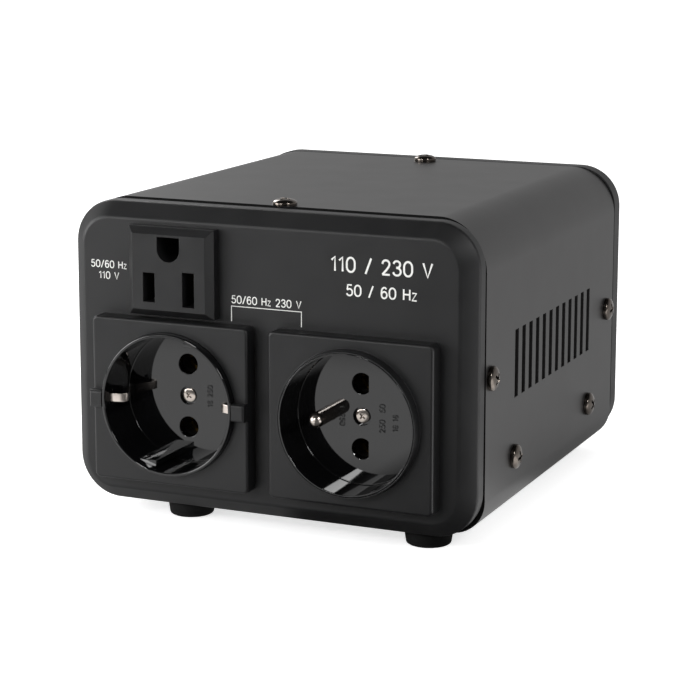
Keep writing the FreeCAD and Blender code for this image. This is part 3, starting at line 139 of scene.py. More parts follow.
# dark and light are the mottled colour; mottle and grain are sizes, depth and edge are relief and edge
# radius, all in mm
finishes = {
    # ABS, moulded with a fine spark-eroded grain: satin, nearly black
    "mouldedAbs": {"dark": "#121213", "light": "#171718", "mottle": 9, "rough": (0.42, 0.5), "grain": 0.45,
                   "relief": 0.25, "depth": 0.03, "edge": 0.35, "ior": 1.47},
    # polyester powder coat on sheet steel: satin with a faint orange peel
    "powderCoat": {"dark": "#1f1e1e", "light": "#212020", "mottle": 14, "rough": (0.37, 0.39), "grain": 0.9,
                   "relief": 0.2, "depth": 0.03, "edge": 0.25, "ior": 1.55},
    # painted shade in the seam between bezel and cover: black and matt, on the cover's front edge and on the
    # bezel behind the seam
    "seamShadePaint": {"dark": "#040404", "light": "#060606", "mottle": 6, "rough": (0.8, 0.9), "grain": 0.5,
                 "relief": 0.1, "depth": 0.01, "edge": 0.1, "ior": 1.3},
    # nylon insert plates, moulded with a fine grain: matt and nearly black
    "mouldedNylon": {"dark": "#111112", "light": "#151516", "mottle": 6, "rough": (0.38, 0.46),
                     "grain": 0.35, "relief": 0.2, "depth": 0.02, "edge": 0.25, "ior": 1.47},
    # urea thermoset, pressed in a polished tool: mirror gloss
    "polishedUrea": {"dark": "#060607", "light": "#080809", "mottle": 5, "rough": (0.03, 0.05), "grain": 3.0,
                     "relief": 0.03, "depth": 0.02, "edge": 0.15, "ior": 1.6},
    # zinc-nickel plated steel, turned and rolled: soft warm metal
    "nickelPlate": {"dark": "#b0a69e", "light": "#cdc4bc", "mottle": 1.2, "rough": (0.12, 0.2),
                    "grain": 0.3, "relief": 0.15, "depth": 0.01, "edge": 0.12, "metallic": 1.0},
    # the same plating on the cover's screws, painted darker as shade: it stands in for the dark surroundings
    # that the heads mirror
    "shadedNickel": {"dark": "#4f4a46", "light": "#787069", "mottle": 1.0, "rough": (0.11, 0.19),
                   "grain": 0.3, "relief": 0.15, "depth": 0.01, "edge": 0.12, "metallic": 1.0},
    # nickel silver spring strip, bright rolled: pale warm metal with clear highlights
    "springStrip": {"dark": "#c9beb6", "light": "#ddd4cc", "mottle": 1.5, "rough": (0.16, 0.26),
                    "grain": 0.3, "relief": 0.1, "depth": 0.01, "edge": 0.12, "metallic": 1.0},
    # black natural rubber, moulded: dull
    "footRubber": {"dark": "#040404", "light": "#080808", "mottle": 3, "rough": (0.7, 0.85), "grain": 0.5,
                   "relief": 0.3, "depth": 0.04, "edge": 0.3, "ior": 1.35},
    # zinc-plated sheet, passivated: cool grey with a soft bloom
    "zincSheet": {"dark": "#83878b", "light": "#a4a8ab", "mottle": 11, "rough": (0.3, 0.5), "grain": 1.0,
                  "relief": 0.1, "depth": 0.02, "edge": 0.2, "metallic": 1.0},
    # stamped brass strip, drawn darker than bright brass as painted shade for the contacts seen down the pin
    # holes: dull brown gold
    "stampedBrass": {"dark": "#5e4a24", "light": "#7d6633", "mottle": 2, "rough": (0.4, 0.55), "grain": 0.4,
                     "relief": 0.1, "depth": 0.01, "edge": 0.1, "metallic": 1.0},
    # phenolic, pressed block: black and dull
    "phenolic": {"dark": "#0c0b0b", "light": "#131211", "mottle": 4, "rough": (0.5, 0.65), "grain": 0.5,
                 "relief": 0.2, "depth": 0.02, "edge": 0.2, "ior": 1.55},
    # nylon former, moulded without pigment: matt cream
    "formerNylon": {"dark": "#b9b09a", "light": "#cbc3ae", "mottle": 6, "rough": (0.45, 0.55), "grain": 0.5,
                    "relief": 0.1, "depth": 0.02, "edge": 0.2, "ior": 1.53},
    # polyester film wound over the coil: glossy amber with slight folds
    "wrapFilm": {"dark": "#b79a3a", "light": "#cfb252", "mottle": 7, "rough": (0.2, 0.3), "grain": 4.0,
                 "relief": 0.2, "depth": 0.1, "edge": 0.2, "ior": 1.6},
    # nylon of the rear fittings, moulded semi-gloss: black with a soft sheen
    "fittingNylon": {"dark": "#1a1a1b", "light": "#202021", "mottle": 5, "rough": (0.3, 0.4), "grain": 0.4,
                     "relief": 0.15, "depth": 0.02, "edge": 0.3, "ior": 1.53},
    # nylon rocker, moulded in a polished tool: black with clear highlights
    "rockerNylon": {"dark": "#161617", "light": "#1b1b1c", "mottle": 5, "rough": (0.12, 0.2), "grain": 2.0,
                    "relief": 0.05, "depth": 0.02, "edge": 0.4, "ior": 1.53},
    # nylon slider, moulded with red pigment: satin
    "sliderNylon": {"dark": "#9c1d17", "light": "#b12a20", "mottle": 3, "rough": (0.4, 0.5), "grain": 0.4,
                    "relief": 0.1, "depth": 0.02, "edge": 0.2, "ior": 1.53},
    # soda glass tube with plated ends: pale and bright
    "fuseGlass": {"dark": "#c3c8c6", "light": "#dadfdd", "mottle": 3, "rough": (0.05, 0.12), "grain": 1.0,
                  "relief": 0.05, "depth": 0.01, "edge": 0.1, "ior": 1.5},
    # PVC insulation, extruded: brown and satin
    "leadSleeve": {"dark": "#3a2a1c", "light": "#4a3623", "mottle": 6, "rough": (0.4, 0.5), "grain": 0.8,
                   "relief": 0.1, "depth": 0.02, "edge": 0.1, "ior": 1.53},
    # ink, pad-printed: white and matt
    "whiteInk": {"dark": "#d2d2cf", "light": "#e2e2df", "mottle": 2, "rough": (0.5, 0.6), "grain": 0.3,
                 "relief": 0.1, "depth": 0.01, "ior": 1.5},
}
made = {name: surface(name, look) for name, look in finishes.items()}


# finishes with a ridge every pitch mm along one direction
ridgedFinishes = {
    # silicon steel sheets of 0.5 mm, varnished: dark edges in lines, drawn 1 mm apart so that they show
    "laminatedSteel": {"dark": "#3a3632", "light": "#4a4540", "mottle": 5, "rough": (0.35, 0.5),
                       "grain": 0.6, "relief": 0.2, "depth": 0.02, "edge": 0.2, "metallic": 0.7,
                       "along": "Y", "pitch": 1, "ridgeRelief": 0.6, "ridgeDepth": 0.1},
    # enamelled copper wire of 0.8 mm, layer wound: red brown in close turns
    "woundCopper": {"dark": "#7a3d1e", "light": "#94502a", "mottle": 4, "rough": (0.25, 0.35), "grain": 0.6,
                    "relief": 0.1, "depth": 0.02, "metallic": 0.8,
                    "along": "Z", "pitch": 0.8, "ridgeRelief": 0.8, "ridgeDepth": 0.3},
}
waveLength = 0.314  # of the wave pattern at scale 1


def ridged(name, look):
    material = surface(name, look)
    shader = next(n for n in material.node_tree.nodes if n.type == "BSDF_PRINCIPLED")
    where = addNode(material, "ShaderNodeTexCoord").outputs["Object"]
    ridges = addNode(material, "ShaderNodeTexWave",
                     {"bands_direction": look["along"], "Scale": perMetre(look["pitch"]) * waveLength},
                     {"Vector": where})
    step = addNode(material, "ShaderNodeBump",
                   {"Strength": look["ridgeRelief"], "Distance": look["ridgeDepth"] * mm},
                   {"Height": ridges.outputs[1]})
    material.node_tree.links.new(step.outputs[0], shader.inputs["Normal"])
    return material


made.update({name: ridged(name, look) for name, look in ridgedFinishes.items()})
print("stage: materials", len(made))


# Pieces that keep the CAD shape, as merged copies with smooth bends

finishNodes = {
    "mouldedAbs": ["front_bezel", "rear_bezel"],
    "powderCoat": ["cover"],
    "zincSheet": ["chassis_tray", "foot_angle_front", "foot_angle_rear", "thermal_cutout"],
    "nickelPlate": ["foot_screws", "core_bolts", "core_nuts", "tray_bolts", "tray_nuts", "inlet_nuts",
                    "fuse_nut"],
    "footRubber": ["foot_front_left", "foot_front_right", "foot_rear_left", "foot_rear_right"],
    "mouldedNylon": ["german_socket_plate", "french_socket_plate", "us_outlet_body"],
    "phenolic": ["german_contact_carrier", "french_contact_carrier"],
    "formerNylon": ["transformer_bobbin"],
    "stampedBrass": ["german_contact_lower", "german_contact_upper", "french_contact_lower",
                     "french_contact_upper", "us_contact_live", "us_contact_neutral", "us_contact_earth",
                     "winding_tags", "switch_tags", "selector_tags", "fuse_tags", "inlet_blades"],
    "laminatedSteel": ["core_e_stack", "core_i_stack"],
    "woundCopper": ["transformer_winding"],
    "wrapFilm": ["winding_wrap"],
    "fittingNylon": ["switch_housing", "selector_housing", "fuse_holder", "fuse_cap", "inlet_body"],
    "rockerNylon": ["switch_rocker"],
    "sliderNylon": ["selector_slider"],
    "fuseGlass": ["fuse_link"],
    "leadSleeve": ["mains_leads", "primary_leads", "output_leads", "earth_leads"],
}
shownFromOutside = ["front_bezel", "rear_bezel", "cover", "foot_front_left", "foot_front_right",
                    "foot_rear_left", "foot_rear_right", "german_socket_plate", "french_socket_plate",
                    "us_outlet_body", "switch_housing", "selector_housing", "fuse_holder", "fuse_cap",
                    "inlet_body", "switch_rocker", "selector_slider"]


def bodyOf(node):
    for name, nodes in frame["record"]["behaviour"]["bodies"].items():
        if node in nodes:
            return name


sameWay = 0.99999  # cosine of the angle under which two faces lie in one plane


def flatRegions(work):
    # faces that lie in one plane, as a number per face and an area per number
    region = {}
    areas = []
    for start in work.faces:
        if start in region:
            continue
        region[start] = len(areas)
        area = 0
        waiting = [start]
        while waiting:
            face = waiting.pop()
            area += face.calc_area()
            for edge in face.edges:
                for other in edge.link_faces:
                    if other not in region and other.normal.dot(start.normal) > sameWay:
                        region[other] = region[start]
                        waiting.append(other)
        areas.append(area)
    return region, areas


frontSlope = (-0.85, -0.55)  # Y of the direction of a front chamfer's faces


def rolledOver(total, share, roll):
    # from the panel's direction at share 0 to the side's at share 1, only where the chamfer looks sideways
    outward = Vector((total.x, 0, total.z)).normalized()
    lean = roll * abs(outward.x) * (2 * share - 1)
    return (total + lean * (outward + Vector((0, 1, 0)))).normalized()


def smoothed(piece, angle=32, roll=0):
    # soft over small bends and sharp over the rest; a large flat face keeps its own direction,
    # and a front chamfer looks like a roll when roll is above 0
    work = bmesh.new()
    work.from_mesh(piece.data)
    work.normal_update()
    region, areas = flatRegions(work)
    limit = math.cos(math.radians(angle))
    low, high = frontSlope
    depths = [vert.co.y for face in work.faces if low < face.normal.y < high for vert in face.verts]
    nearEdge, farEdge = (min(depths), max(depths)) if roll else (0, 1)
    directions = []
    for face in work.faces:
        for corner in face.loops:
            total = Vector((0, 0, 0))
            seen = set()
            for other in corner.vert.link_faces:
                if region[other] not in seen and other.normal.dot(face.normal) > limit:
                    seen.add(region[other])
                    total += other.normal * areas[region[other]]
            if total.length == 0:
                total = face.normal.copy()
            total.normalize()
            if roll and low < face.normal.y < high:
                share = (corner.vert.co.y - nearEdge) / (farEdge - nearEdge)
                total = rolledOver(total, share, roll)
            directions.append(total)
    work.free()
    piece.data.shade_smooth()
    piece.data.normals_split_custom_set(directions)


def baked(piece):
    # modifiers into the mesh
    graph = bpy.context.evaluated_depsgraph_get()
    mesh = bpy.data.meshes.new_from_object(piece.evaluated_get(graph))
    piece.modifiers.clear()
    piece.data = mesh


def ridden(piece, *nodes):
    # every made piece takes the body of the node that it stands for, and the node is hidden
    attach(piece, bodyOf(nodes[0]))
    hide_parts(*nodes)


mergeGap = 0.002  # mm


def mergedCopy(node):
    # a CAD node's loose triangles as one closed shell
    mesh = frame["nodes"][node].data.copy()
    work = bmesh.new()
    work.from_mesh(mesh)
    bmesh.ops.remove_doubles(work, verts=work.verts, dist=mergeGap * mm)
    work.to_mesh(mesh)
    work.free()
    piece = bpy.data.objects.new(node + "_skin", mesh)
    bpy.context.collection.objects.link(piece)
    smoothed(piece)
    return piece


# extra room in mm between bezel and cover at the foot, the shoulder and the top, and the lift of the edge on
# top; the top bend starts at bend, a share of the height, and the edge ends so far behind the seam
seamSlack = {"foot": 1.0, "shoulder": 0.2, "top": 1.4, "lift": 0.4, "bend": 0.9, "edge": 1.0}
# faces painted black as the seam's shade: mm behind it, and the most that they may look backwards
seamShade = {"cover": {"low": 0, "high": 2.0, "facing": -0.7},
             "front_bezel": {"low": 0.1, "high": 20, "facing": 1.01}}
bezelRoll = 0.24


def slackSeam(piece):
    # the cover's front edge stands a little off the bezel, most along the top and at the foot,
    # and a little above it on top
    s = seamSlack
    for vert in piece.data.vertices:
        y, z = vert.co.y / mm, vert.co.z / mm
        if y < place["frontSeam"] + s["edge"]:
            rise = (z - place["caseBottom"]) / (place["caseTop"] - place["caseBottom"])
            slack = s["foot"] + (s["shoulder"] - s["foot"]) * rise
            if rise > s["bend"]:
                share = ((rise - s["bend"]) / (1 - s["bend"])) ** 2
                slack += (s["top"] - slack) * share
                vert.co.z += s["lift"] * share * mm
            vert.co.y += slack * mm


def shadedSeam(piece, low, high, facing):
    # the faces in the seam take the black finish as painted shade
    piece.data.materials.append(made["seamShadePaint"])
    for face in piece.data.polygons:
        behind = face.center.y / mm - place["frontSeam"]
        if low < behind < high and face.normal.y < facing:
            face.material_index = 1


def dressed(node, finish):
    piece = mergedCopy(node)
    if node == "cover":
        slackSeam(piece)
    if node == "front_bezel":
        smoothed(piece, roll=bezelRoll)
    piece.data.materials.clear()
    piece.data.materials.append(made[finish])
    if node in seamShade:
        shadedSeam(piece, **seamShade[node])
    ridden(piece, node)


for finish, nodes in finishNodes.items():
    for node in nodes:
        if node in shownFromOutside:
            dressed(node, finish)
        else:
            for slot in frame["nodes"][node].material_slots:
                slot.material = made[finish]
print("stage: CAD pieces", sum(len(nodes) for nodes in finishNodes.values()))


# Helpers for pieces made here

def pieceOf(name, mesh, finish):
    mesh.materials.clear()
    mesh.materials.append(made[finish])
    piece = bpy.data.objects.new(name, mesh)
    bpy.context.collection.objects.link(piece)
    return piece


def settled(piece):
    baked(piece)
    smoothed(piece)


def meshFrom(work, name):
    mesh = bpy.data.meshes.new(name)
    work.to_mesh(mesh)
    work.free()
    return mesh


def shell(name, rings, finish):
    # a closed skin over rings of points in mm; each end is closed with one face
    work = bmesh.new()
    loops = [[work.verts.new([c * mm for c in point]) for point in ring] for ring in rings]
    for a, b in zip(loops, loops[1:]):
        for i in range(len(a)):
            j = (i + 1) % len(a)
            work.faces.new((a[i], a[j], b[j], b[i]))
    work.faces.new(loops[0])
    work.faces.new(loops[-1])
    bmesh.ops.recalc_face_normals(work, faces=work.faces)
    return pieceOf(name, meshFrom(work, name), finish)


def circle(radius, steps):
    return [(radius * math.cos(2 * math.pi * i / steps), radius * math.sin(2 * math.pi * i / steps))
            for i in range(steps)]


def lathed(name, x, z, profile, finish, steps=64):
    # profile of (radius, y) in mm round a line along Y
    rings = [[(x + u, y, z + v) for u, v in circle(radius, steps)] for radius, y in profile]
    piece = shell(name, rings, finish)
    smoothed(piece)
    return piece


def block(name, low, high, finish):
    work = bmesh.new()
    bmesh.ops.create_cube(work, size=1)
    for vert in work.verts:
        vert.co = Vector([(low[i] if vert.co[i] < 0 else high[i]) * mm for i in range(3)])
    return pieceOf(name, meshFrom(work, name), finish)


def cutWith(piece, cutters):
    for cutter in cutters:
        cut = piece.modifiers.new("cut", "BOOLEAN")
        cut.operation = "DIFFERENCE"
        cut.solver = "EXACT"
        cut.object = cutter
    settled(piece)
    for cutter in cutters:
        bpy.data.objects.remove(cutter)


def bevelled(piece, width, angle=35):
    soft = piece.modifiers.new("soft", "BEVEL")
    soft.width = width * mm
    soft.segments = 2
    soft.limit_method = "ANGLE"
    soft.angle_limit = math.radians(angle)
    soft.use_clamp_overlap = True
    settled(piece)


def joinedPieces(name, pieces):
    work = bmesh.new()
    for piece in pieces:
        work.from_mesh(piece.data)
    mesh = meshFrom(work, name)
    mesh.materials.append(pieces[0].data.materials[0])
    for piece in pieces:
        bpy.data.objects.remove(piece)
    whole = bpy.data.objects.new(name, mesh)
    bpy.context.collection.objects.link(whole)
    smoothed(whole)
    return whole


# Cups of the two European sockets

# proud and depth are taken from the plates' face, the slots let the earth clips in through the wall,
# lipRound is a share of the lip's thickness, and over is how far a cutter goes past what it cuts
cupSizes = {
    "radius": 20.0, "wall": 1.1, "floorWall": 2.4, "corner": 0.25, "flange": 1.0, "flangeReach": 2.2,
    "lipRound": 0.4, "soft": 0.12, "pinHole": 2.9, "pinLead": 0.25, "pinRise": 9.5, "well": 2.7,
    "wellDepth": 1.2, "over": 2.0,
    "germanProud": 2.6, "germanDepth": 12.0, "slotReach": 1.2, "slotStart": 0.5, "slotEnd": 2.2,
    "slotHalf": 2.3, "ribWidth": 5.7, "ribOffset": 7.4, "ribDepth": 2.8, "ribRoot": 0.6, "ribSink": 0.5,
    "ribSoft": 0.25,
    "frenchProud": 3.0, "frenchDepth": 9.2, "frenchLip": 0.6, "frenchFlat": 2.1, "earthHole": 2.22,
    "earthSeat": 2.62, "earthStep": 1.15, "earthEnd": 5.0,
}


def cupBlank(name, x, proud, depth, lip):
    s = cupSizes
    rim = place["plateFace"] - proud
    floor = place["plateFace"] + depth
    back = floor + s["floorWall"]
    panel = place["frontPanel"]
    seat = panel - s["flange"]
    radius = s["radius"]
    outer = radius + s["wall"]
    flange = outer + s["flangeReach"]
    thin = radius + lip
    corner = [(radius - s["corner"] * (1 - math.sin(math.radians(a))),
               floor - s["corner"] * (1 - math.cos(math.radians(a)))) for a in (0, 22.5, 45, 67.5, 90)]
    rounding = lip * s["lipRound"]
    halfway = rounding * 0.3  # the middle of a rounding lies this far in from its sharp corner
    lipTop = [(radius, rim + rounding), (radius + halfway, rim + halfway), (radius + rounding, rim),
              (thin - rounding, rim), (thin - halfway, rim + halfway), (thin, rim + rounding)]
    outside = [(thin, seat), (flange, seat), (flange, panel), (outer, panel), (outer, back)]
    return lathed(name, x, place["socketZ"], corner + lipTop + outside, "polishedUrea", steps=128)


def flattened(piece, x):
    # everything beyond x moves back to it
    for vert in piece.data.vertices:
        vert.co.x = min(vert.co.x, x * mm)


def floorCuts(x, depth, flat=None):
    # two pin holes with a lead-in and a screw well; the holes' right side is flat where flat is given
    s = cupSizes
    floor = place["plateFace"] + depth
    above = floor - s["over"]
    below = floor + s["floorWall"] + s["over"]
    z = place["socketZ"]
    hole = s["pinHole"]
    mouth = hole + s["pinLead"]
    pinHole = [(mouth, above), (mouth, floor), (hole, floor + s["pinLead"]), (hole, below)]
    cuts = [lathed("cut", x, z + side * s["pinRise"], pinHole, "polishedUrea") for side in (-1, 1)]
    if flat:
        for cut in cuts:
            flattened(cut, x + flat)
    well = [(s["well"], above), (s["well"], floor + s["wellDepth"])]
    cuts.append(lathed("cut", x, z, well, "polishedUrea"))
    return cuts


def makeGermanCup():
    s = cupSizes
    x = -place["socketX"]
    z = place["socketZ"]
    face = place["plateFace"]
    floor = face + s["germanDepth"]
    cup = cupBlank("german_cup", x, s["germanProud"], s["germanDepth"], s["wall"])
    cuts = floorCuts(x, s["germanDepth"])
    for side in (-1, 1):
        wall = x + side * (s["radius"] + s["wall"] / 2)
        low = (wall - s["slotReach"], face + s["slotStart"], z - s["slotHalf"])
        high = (wall + s["slotReach"], face + s["slotEnd"], z + s["slotHalf"])
        cuts.append(block("cut", low, high, "polishedUrea"))
    cutWith(cup, cuts)
    bevelled(cup, s["soft"])
    parts = [cup]
    for side in (-1, 1):
        ribX = x + side * s["ribOffset"]
        inner = z + side * (s["radius"] - s["ribDepth"])
        outer = z + side * (math.sqrt(s["radius"] ** 2 - s["ribOffset"] ** 2) + s["ribRoot"])
        rib = block("rib", (ribX - s["ribWidth"] / 2, face, min(inner, outer)),
                    (ribX + s["ribWidth"] / 2, floor + s["ribSink"], max(inner, outer)), "polishedUrea")
        bevelled(rib, s["ribSoft"])
        parts.append(rib)
    ridden(joinedPieces("german_cup_skin", parts), "german_socket_cup")


def makeFrenchCup():
    s = cupSizes
    x = place["socketX"]
    floor = place["plateFace"] + s["frenchDepth"]
    cup = cupBlank("french_cup_skin", x, s["frenchProud"], s["frenchDepth"], s["frenchLip"])
    cuts = floorCuts(x, s["frenchDepth"], s["frenchFlat"])
    earthHole = [(s["earthHole"], floor - s["over"]), (s["earthHole"], floor + s["earthStep"]),
                 (s["earthSeat"], floor + s["earthStep"]), (s["earthSeat"], floor + s["earthEnd"])]
    cuts.append(lathed("cut", place["earthX"], place["socketZ"], earthHole, "polishedUrea"))
    cutWith(cup, cuts)
    bevelled(cup, s["soft"])
    ridden(cup, "french_socket_cup")


makeGermanCup()
makeFrenchCup()
print("stage: cups")


# Earth pin and earth clips

# tip and end are places along Y, and the thick root starts so far behind the cup's floor
earthPin = {"radius": 2.2, "root": 2.6, "rootStart": 1.2, "tip": -78.5, "end": -46.0}


def makeEarthPin():
    s = earthPin
    radius = s["radius"]
    nose = [(radius * math.sin(math.radians(a)), s["tip"] + radius * (1 - math.cos(math.radians(a))))
            for a in (4, 15, 30, 45, 60, 75, 90)]
    step = place["plateFace"] + cupSizes["frenchDepth"] + s["rootStart"]
    profile = nose + [(radius, step), (s["root"], step), (s["root"], s["end"])]
    pin = lathed("earth_pin_skin", place["earthX"], place["socketZ"], profile, "springStrip")
    ridden(pin, "french_earth_pin")


makeEarthPin()

# bend is the middle line of a sprung end, as (out from the cup's middle, y)
earthClip = {
    "sheet": 0.8, "width": 2.5, "soft": 0.15,
    "bend": [(18.9, -66.6), (17.4, -69.8), (15.9, -72.9), (15.8, -73.7), (16.4, -74.5), (18.2, -75.2),
             (20.2, -75.4), (21.1, -75.4), (21.5, -74.9), (21.5, -70.0), (21.5, -61.8)],
    "strapReach": 21.9, "strapStart": -62.2, "strapEnd": -61.4,
}


def sprungEnd(side):
    # a strip of even thickness along the bend
    s = earthClip
    x = -place["socketX"]
    z = place["socketZ"]
    half = s["width"] / 2
    bend = s["bend"]
    rings = []
    for i, (out, y) in enumerate(bend):
        before = Vector(bend[max(i - 1, 0)])
        after = Vector(bend[min(i + 1, len(bend) - 1)])
        along = (after - before).normalized()
        across = Vector((-along.y, along.x)) * (s["sheet"] / 2)
        corners = ((across, -half), (across, half), (-across, half), (-across, -half))
        rings.append([(x + side * (out + edge.x), y + edge.y, z + rise) for edge, rise in corners])
    clip = shell("clip", rings, "springStrip")
    bevelled(clip, s["soft"], 50)
    return clip


def makeEarthClips():
    s = earthClip
    x = -place["socketX"]
    z = place["socketZ"]
    half = s["width"] / 2
    strap = block("strap", (x - s["strapReach"], s["strapStart"], z - half),
                  (x + s["strapReach"], s["strapEnd"], z + half), "springStrip")
    ridden(joinedPieces("earth_clips_skin", [sprungEnd(-1), sprungEnd(1), strap]), "german_earth_clips")


makeEarthClips()
print("stage: earth pin and clips")


# Pan-head screws with a cross recess, one head repeated by Geometry Nodes

# the recess narrows towards its foot, to a share of its reach and of its width
recess = {"foot": 0.45, "footWidth": 0.6, "over": 0.3, "soft": 0.06}
headSteps = 48


def recessBar(s, turn):
    # one of the two bars that cross in the head
    work = bmesh.new()
    bmesh.ops.create_cube(work, size=1)
    for vert in work.verts:
        reach, half, z = s["wing"], s["wingWidth"] / 2, s["height"] + recess["over"]
        if vert.co.z < 0:
            reach, half, z = reach * recess["foot"], half * recess["footWidth"], s["height"] - s["wingDepth"]
        corner = (math.copysign(reach, vert.co.x), math.copysign(half, vert.co.y), z)
        vert.co = [c * mm for c in corner]
    turned = Matrix.Rotation(math.radians(turn), 3, "Z")
    bmesh.ops.rotate(work, verts=work.verts, cent=(0, 0, 0), matrix=turned)
    return pieceOf("cut", meshFrom(work, "cut"), "nickelPlate")


def panHead(name, s):
    # along +Z with its seat at 0
    head, shank, length, crown = s["head"], s["shank"], s["length"], s["crown"]
    edge = s["height"] - crown
    point = shank * 0.5
    profile = [(point, -length), (shank, -length + point), (shank, 0), (head * 0.97, 0), (head, head * 0.03),
               (head, edge * 0.85)]
    profile += [(head * math.cos(math.radians(a)), edge + crown * math.sin(math.radians(a)))
                for a in (8, 20, 35, 50, 65, 78, 86)]
    rings = [[(u, v, z) for u, v in circle(radius, headSteps)] for radius, z in profile]
    screw = shell(name, rings, "nickelPlate")
    cutWith(screw, [recessBar(s, turn) for turn in (0, 90)])
    bevelled(screw, recess["soft"], 40)
    return screw


screwSeed = 4


def screwRowTree(head, finish):
    # one head on each point, turned to the point's own direction and by a seeded random angle
    tree = bpy.data.node_groups.new("screwRow", "GeometryNodeTree")
    tree.interface.new_socket("Geometry", in_out="INPUT", socket_type="NodeSocketGeometry")
    tree.interface.new_socket("Spread", in_out="INPUT", socket_type="NodeSocketFloat")
    tree.interface.new_socket("Geometry", in_out="OUTPUT", socket_type="NodeSocketGeometry")
    nodes = tree.nodes
    link = tree.links.new
    entry = nodes.new("NodeGroupInput")
    leave = nodes.new("NodeGroupOutput")
    info = nodes.new("GeometryNodeObjectInfo")
    info.inputs["Object"].default_value = head
    facing = nodes.new("GeometryNodeInputNamedAttribute")
    facing.data_type = "FLOAT_VECTOR"
    facing.inputs["Name"].default_value = "facing"
    align = nodes.new("FunctionNodeAlignRotationToVector")
    align.axis = "Z"
    link(facing.outputs[0], align.inputs["Vector"])
    chance = nodes.new("FunctionNodeRandomValue")
    chance.data_type = "FLOAT"
    chance.inputs["Seed"].default_value = screwSeed
    link(entry.outputs["Spread"], chance.inputs[3])
    spin = nodes.new("ShaderNodeCombineXYZ")
    link(chance.outputs[1], spin.inputs[2])
    turn = nodes.new("FunctionNodeEulerToRotation")
    link(spin.outputs[0], turn.inputs[0])
    both = nodes.new("FunctionNodeRotateRotation")
    both.rotation_space = "LOCAL"
    link(align.outputs[0], both.inputs[0])
    link(turn.outputs[0], both.inputs[1])
    points = nodes.new("GeometryNodeInstanceOnPoints")
    link(entry.outputs["Geometry"], points.inputs["Points"])
    link(info.outputs["Geometry"], points.inputs["Instance"])
    link(both.outputs[0], points.inputs["Rotation"])
    real = nodes.new("GeometryNodeRealizeInstances")
    link(points.outputs[0], real.inputs[0])
    coat = nodes.new("GeometryNodeSetMaterial")
    coat.inputs["Material"].default_value = made[finish]
    link(real.outputs[0], coat.inputs[0])
    link(coat.outputs[0], leave.inputs[0])
    return tree


def screwsAt(name, head, places, spread, finish="nickelPlate"):
    mesh = bpy.data.meshes.new(name)
    mesh.from_pydata([Vector(spot) * mm for spot, facing in places], [], [])
    facing = mesh.attributes.new("facing", "FLOAT_VECTOR", "POINT")
    for i, (spot, direction) in enumerate(places):
        facing.data[i].vector = direction
    row = bpy.data.objects.new(name, mesh)
    bpy.context.collection.objects.link(row)
    tree = screwRowTree(head, finish)
    repeat = row.modifiers.new("repeat", "NODES")
    repeat.node_group = tree
    spreadSocket = next(s for s in tree.interface.items_tree if s.name == "Spread")
    repeat[spreadSocket.identifier] = spread
    settled(row)
    bpy.data.objects.remove(head)
    return row


# sizes in mm; spread is the largest random turn in radians
coverScrews = {
    "head": 3.6, "height": 2.2, "crown": 1.3, "shank": 1.5, "length": 7.0, "wing": 2.2, "wingWidth": 0.9,
    "wingDepth": 1.6, "spread": 1.4,
    "fromFront": 5.4, "fromRear": 7.4, "rise": 45, "lowerApart": 35.3, "lowerRise": 17.5,
}
centreScrews = {
    "head": 2.1, "height": 0.96, "crown": 0.3, "shank": 1.25, "length": 10.2, "wing": 1.25, "wingWidth": 0.5,
    "wingDepth": 0.7, "spread": 1.2,
}
inletScrews = {
    "head": 2.8, "height": 1.8, "crown": 1.08, "shank": 1.5, "length": 8.1, "wing": 1.6, "wingWidth": 0.6,
    "wingDepth": 1.1, "spread": 1.2, "apart": 20, "flange": 2.2,
}


def coverScrewPlaces():
    # each as (spot, the way that the head faces)
    s = coverScrews
    middle = (place["frontSeam"] + place["rearSeam"]) / 2
    ends = (place["frontSeam"] + s["fromFront"], place["rearSeam"] - s["fromRear"])
    spots = []
    for side in (-1, 1):
        x = side * place["halfWidth"]
        for y in ends:
            spots.append(((x, y, place["caseBottom"] + s["rise"]), (side, 0, 0)))
        for end in (-1, 1):
            spots.append(((x, middle + end * s["lowerApart"], place["caseBottom"] + s["lowerRise"]),
                          (side, 0, 0)))
    for y in ends:
        spots.append(((0, y, place["caseTop"]), (0, 0, 1)))
    return spots


head = panHead("cover_head", coverScrews)
# the cover's screws take the nickel painted darker as shade
row = screwsAt("cover_screws_skin", head, coverScrewPlaces(), coverScrews["spread"], "shadedNickel")
ridden(row, "cover_screws")

centreNodes = {"german_centre_screw": (-1, "germanDepth"), "french_centre_screw": (1, "frenchDepth")}
for node, (side, depth) in centreNodes.items():
    seat = place["plateFace"] + cupSizes[depth] + cupSizes["wellDepth"]
    spots = [((side * place["socketX"], seat, place["socketZ"]), (0, -1, 0))]
    head = panHead("centre_head", centreScrews)
    ridden(screwsAt(node + "_skin", head, spots, centreScrews["spread"]), node)

spots = [((place["inletX"] + side * inletScrews["apart"], place["rearPanel"] + inletScrews["flange"],
           place["inletZ"]), (0, 1, 0)) for side in (-1, 1)]
head = panHead("inlet_head", inletScrews)
ridden(screwsAt("inlet_screws_skin", head, spots, inletScrews["spread"]), "inlet_screws")
print("stage: screws")


# Numbers: drawn strokes, printed on the panels and moulded in the socket floors

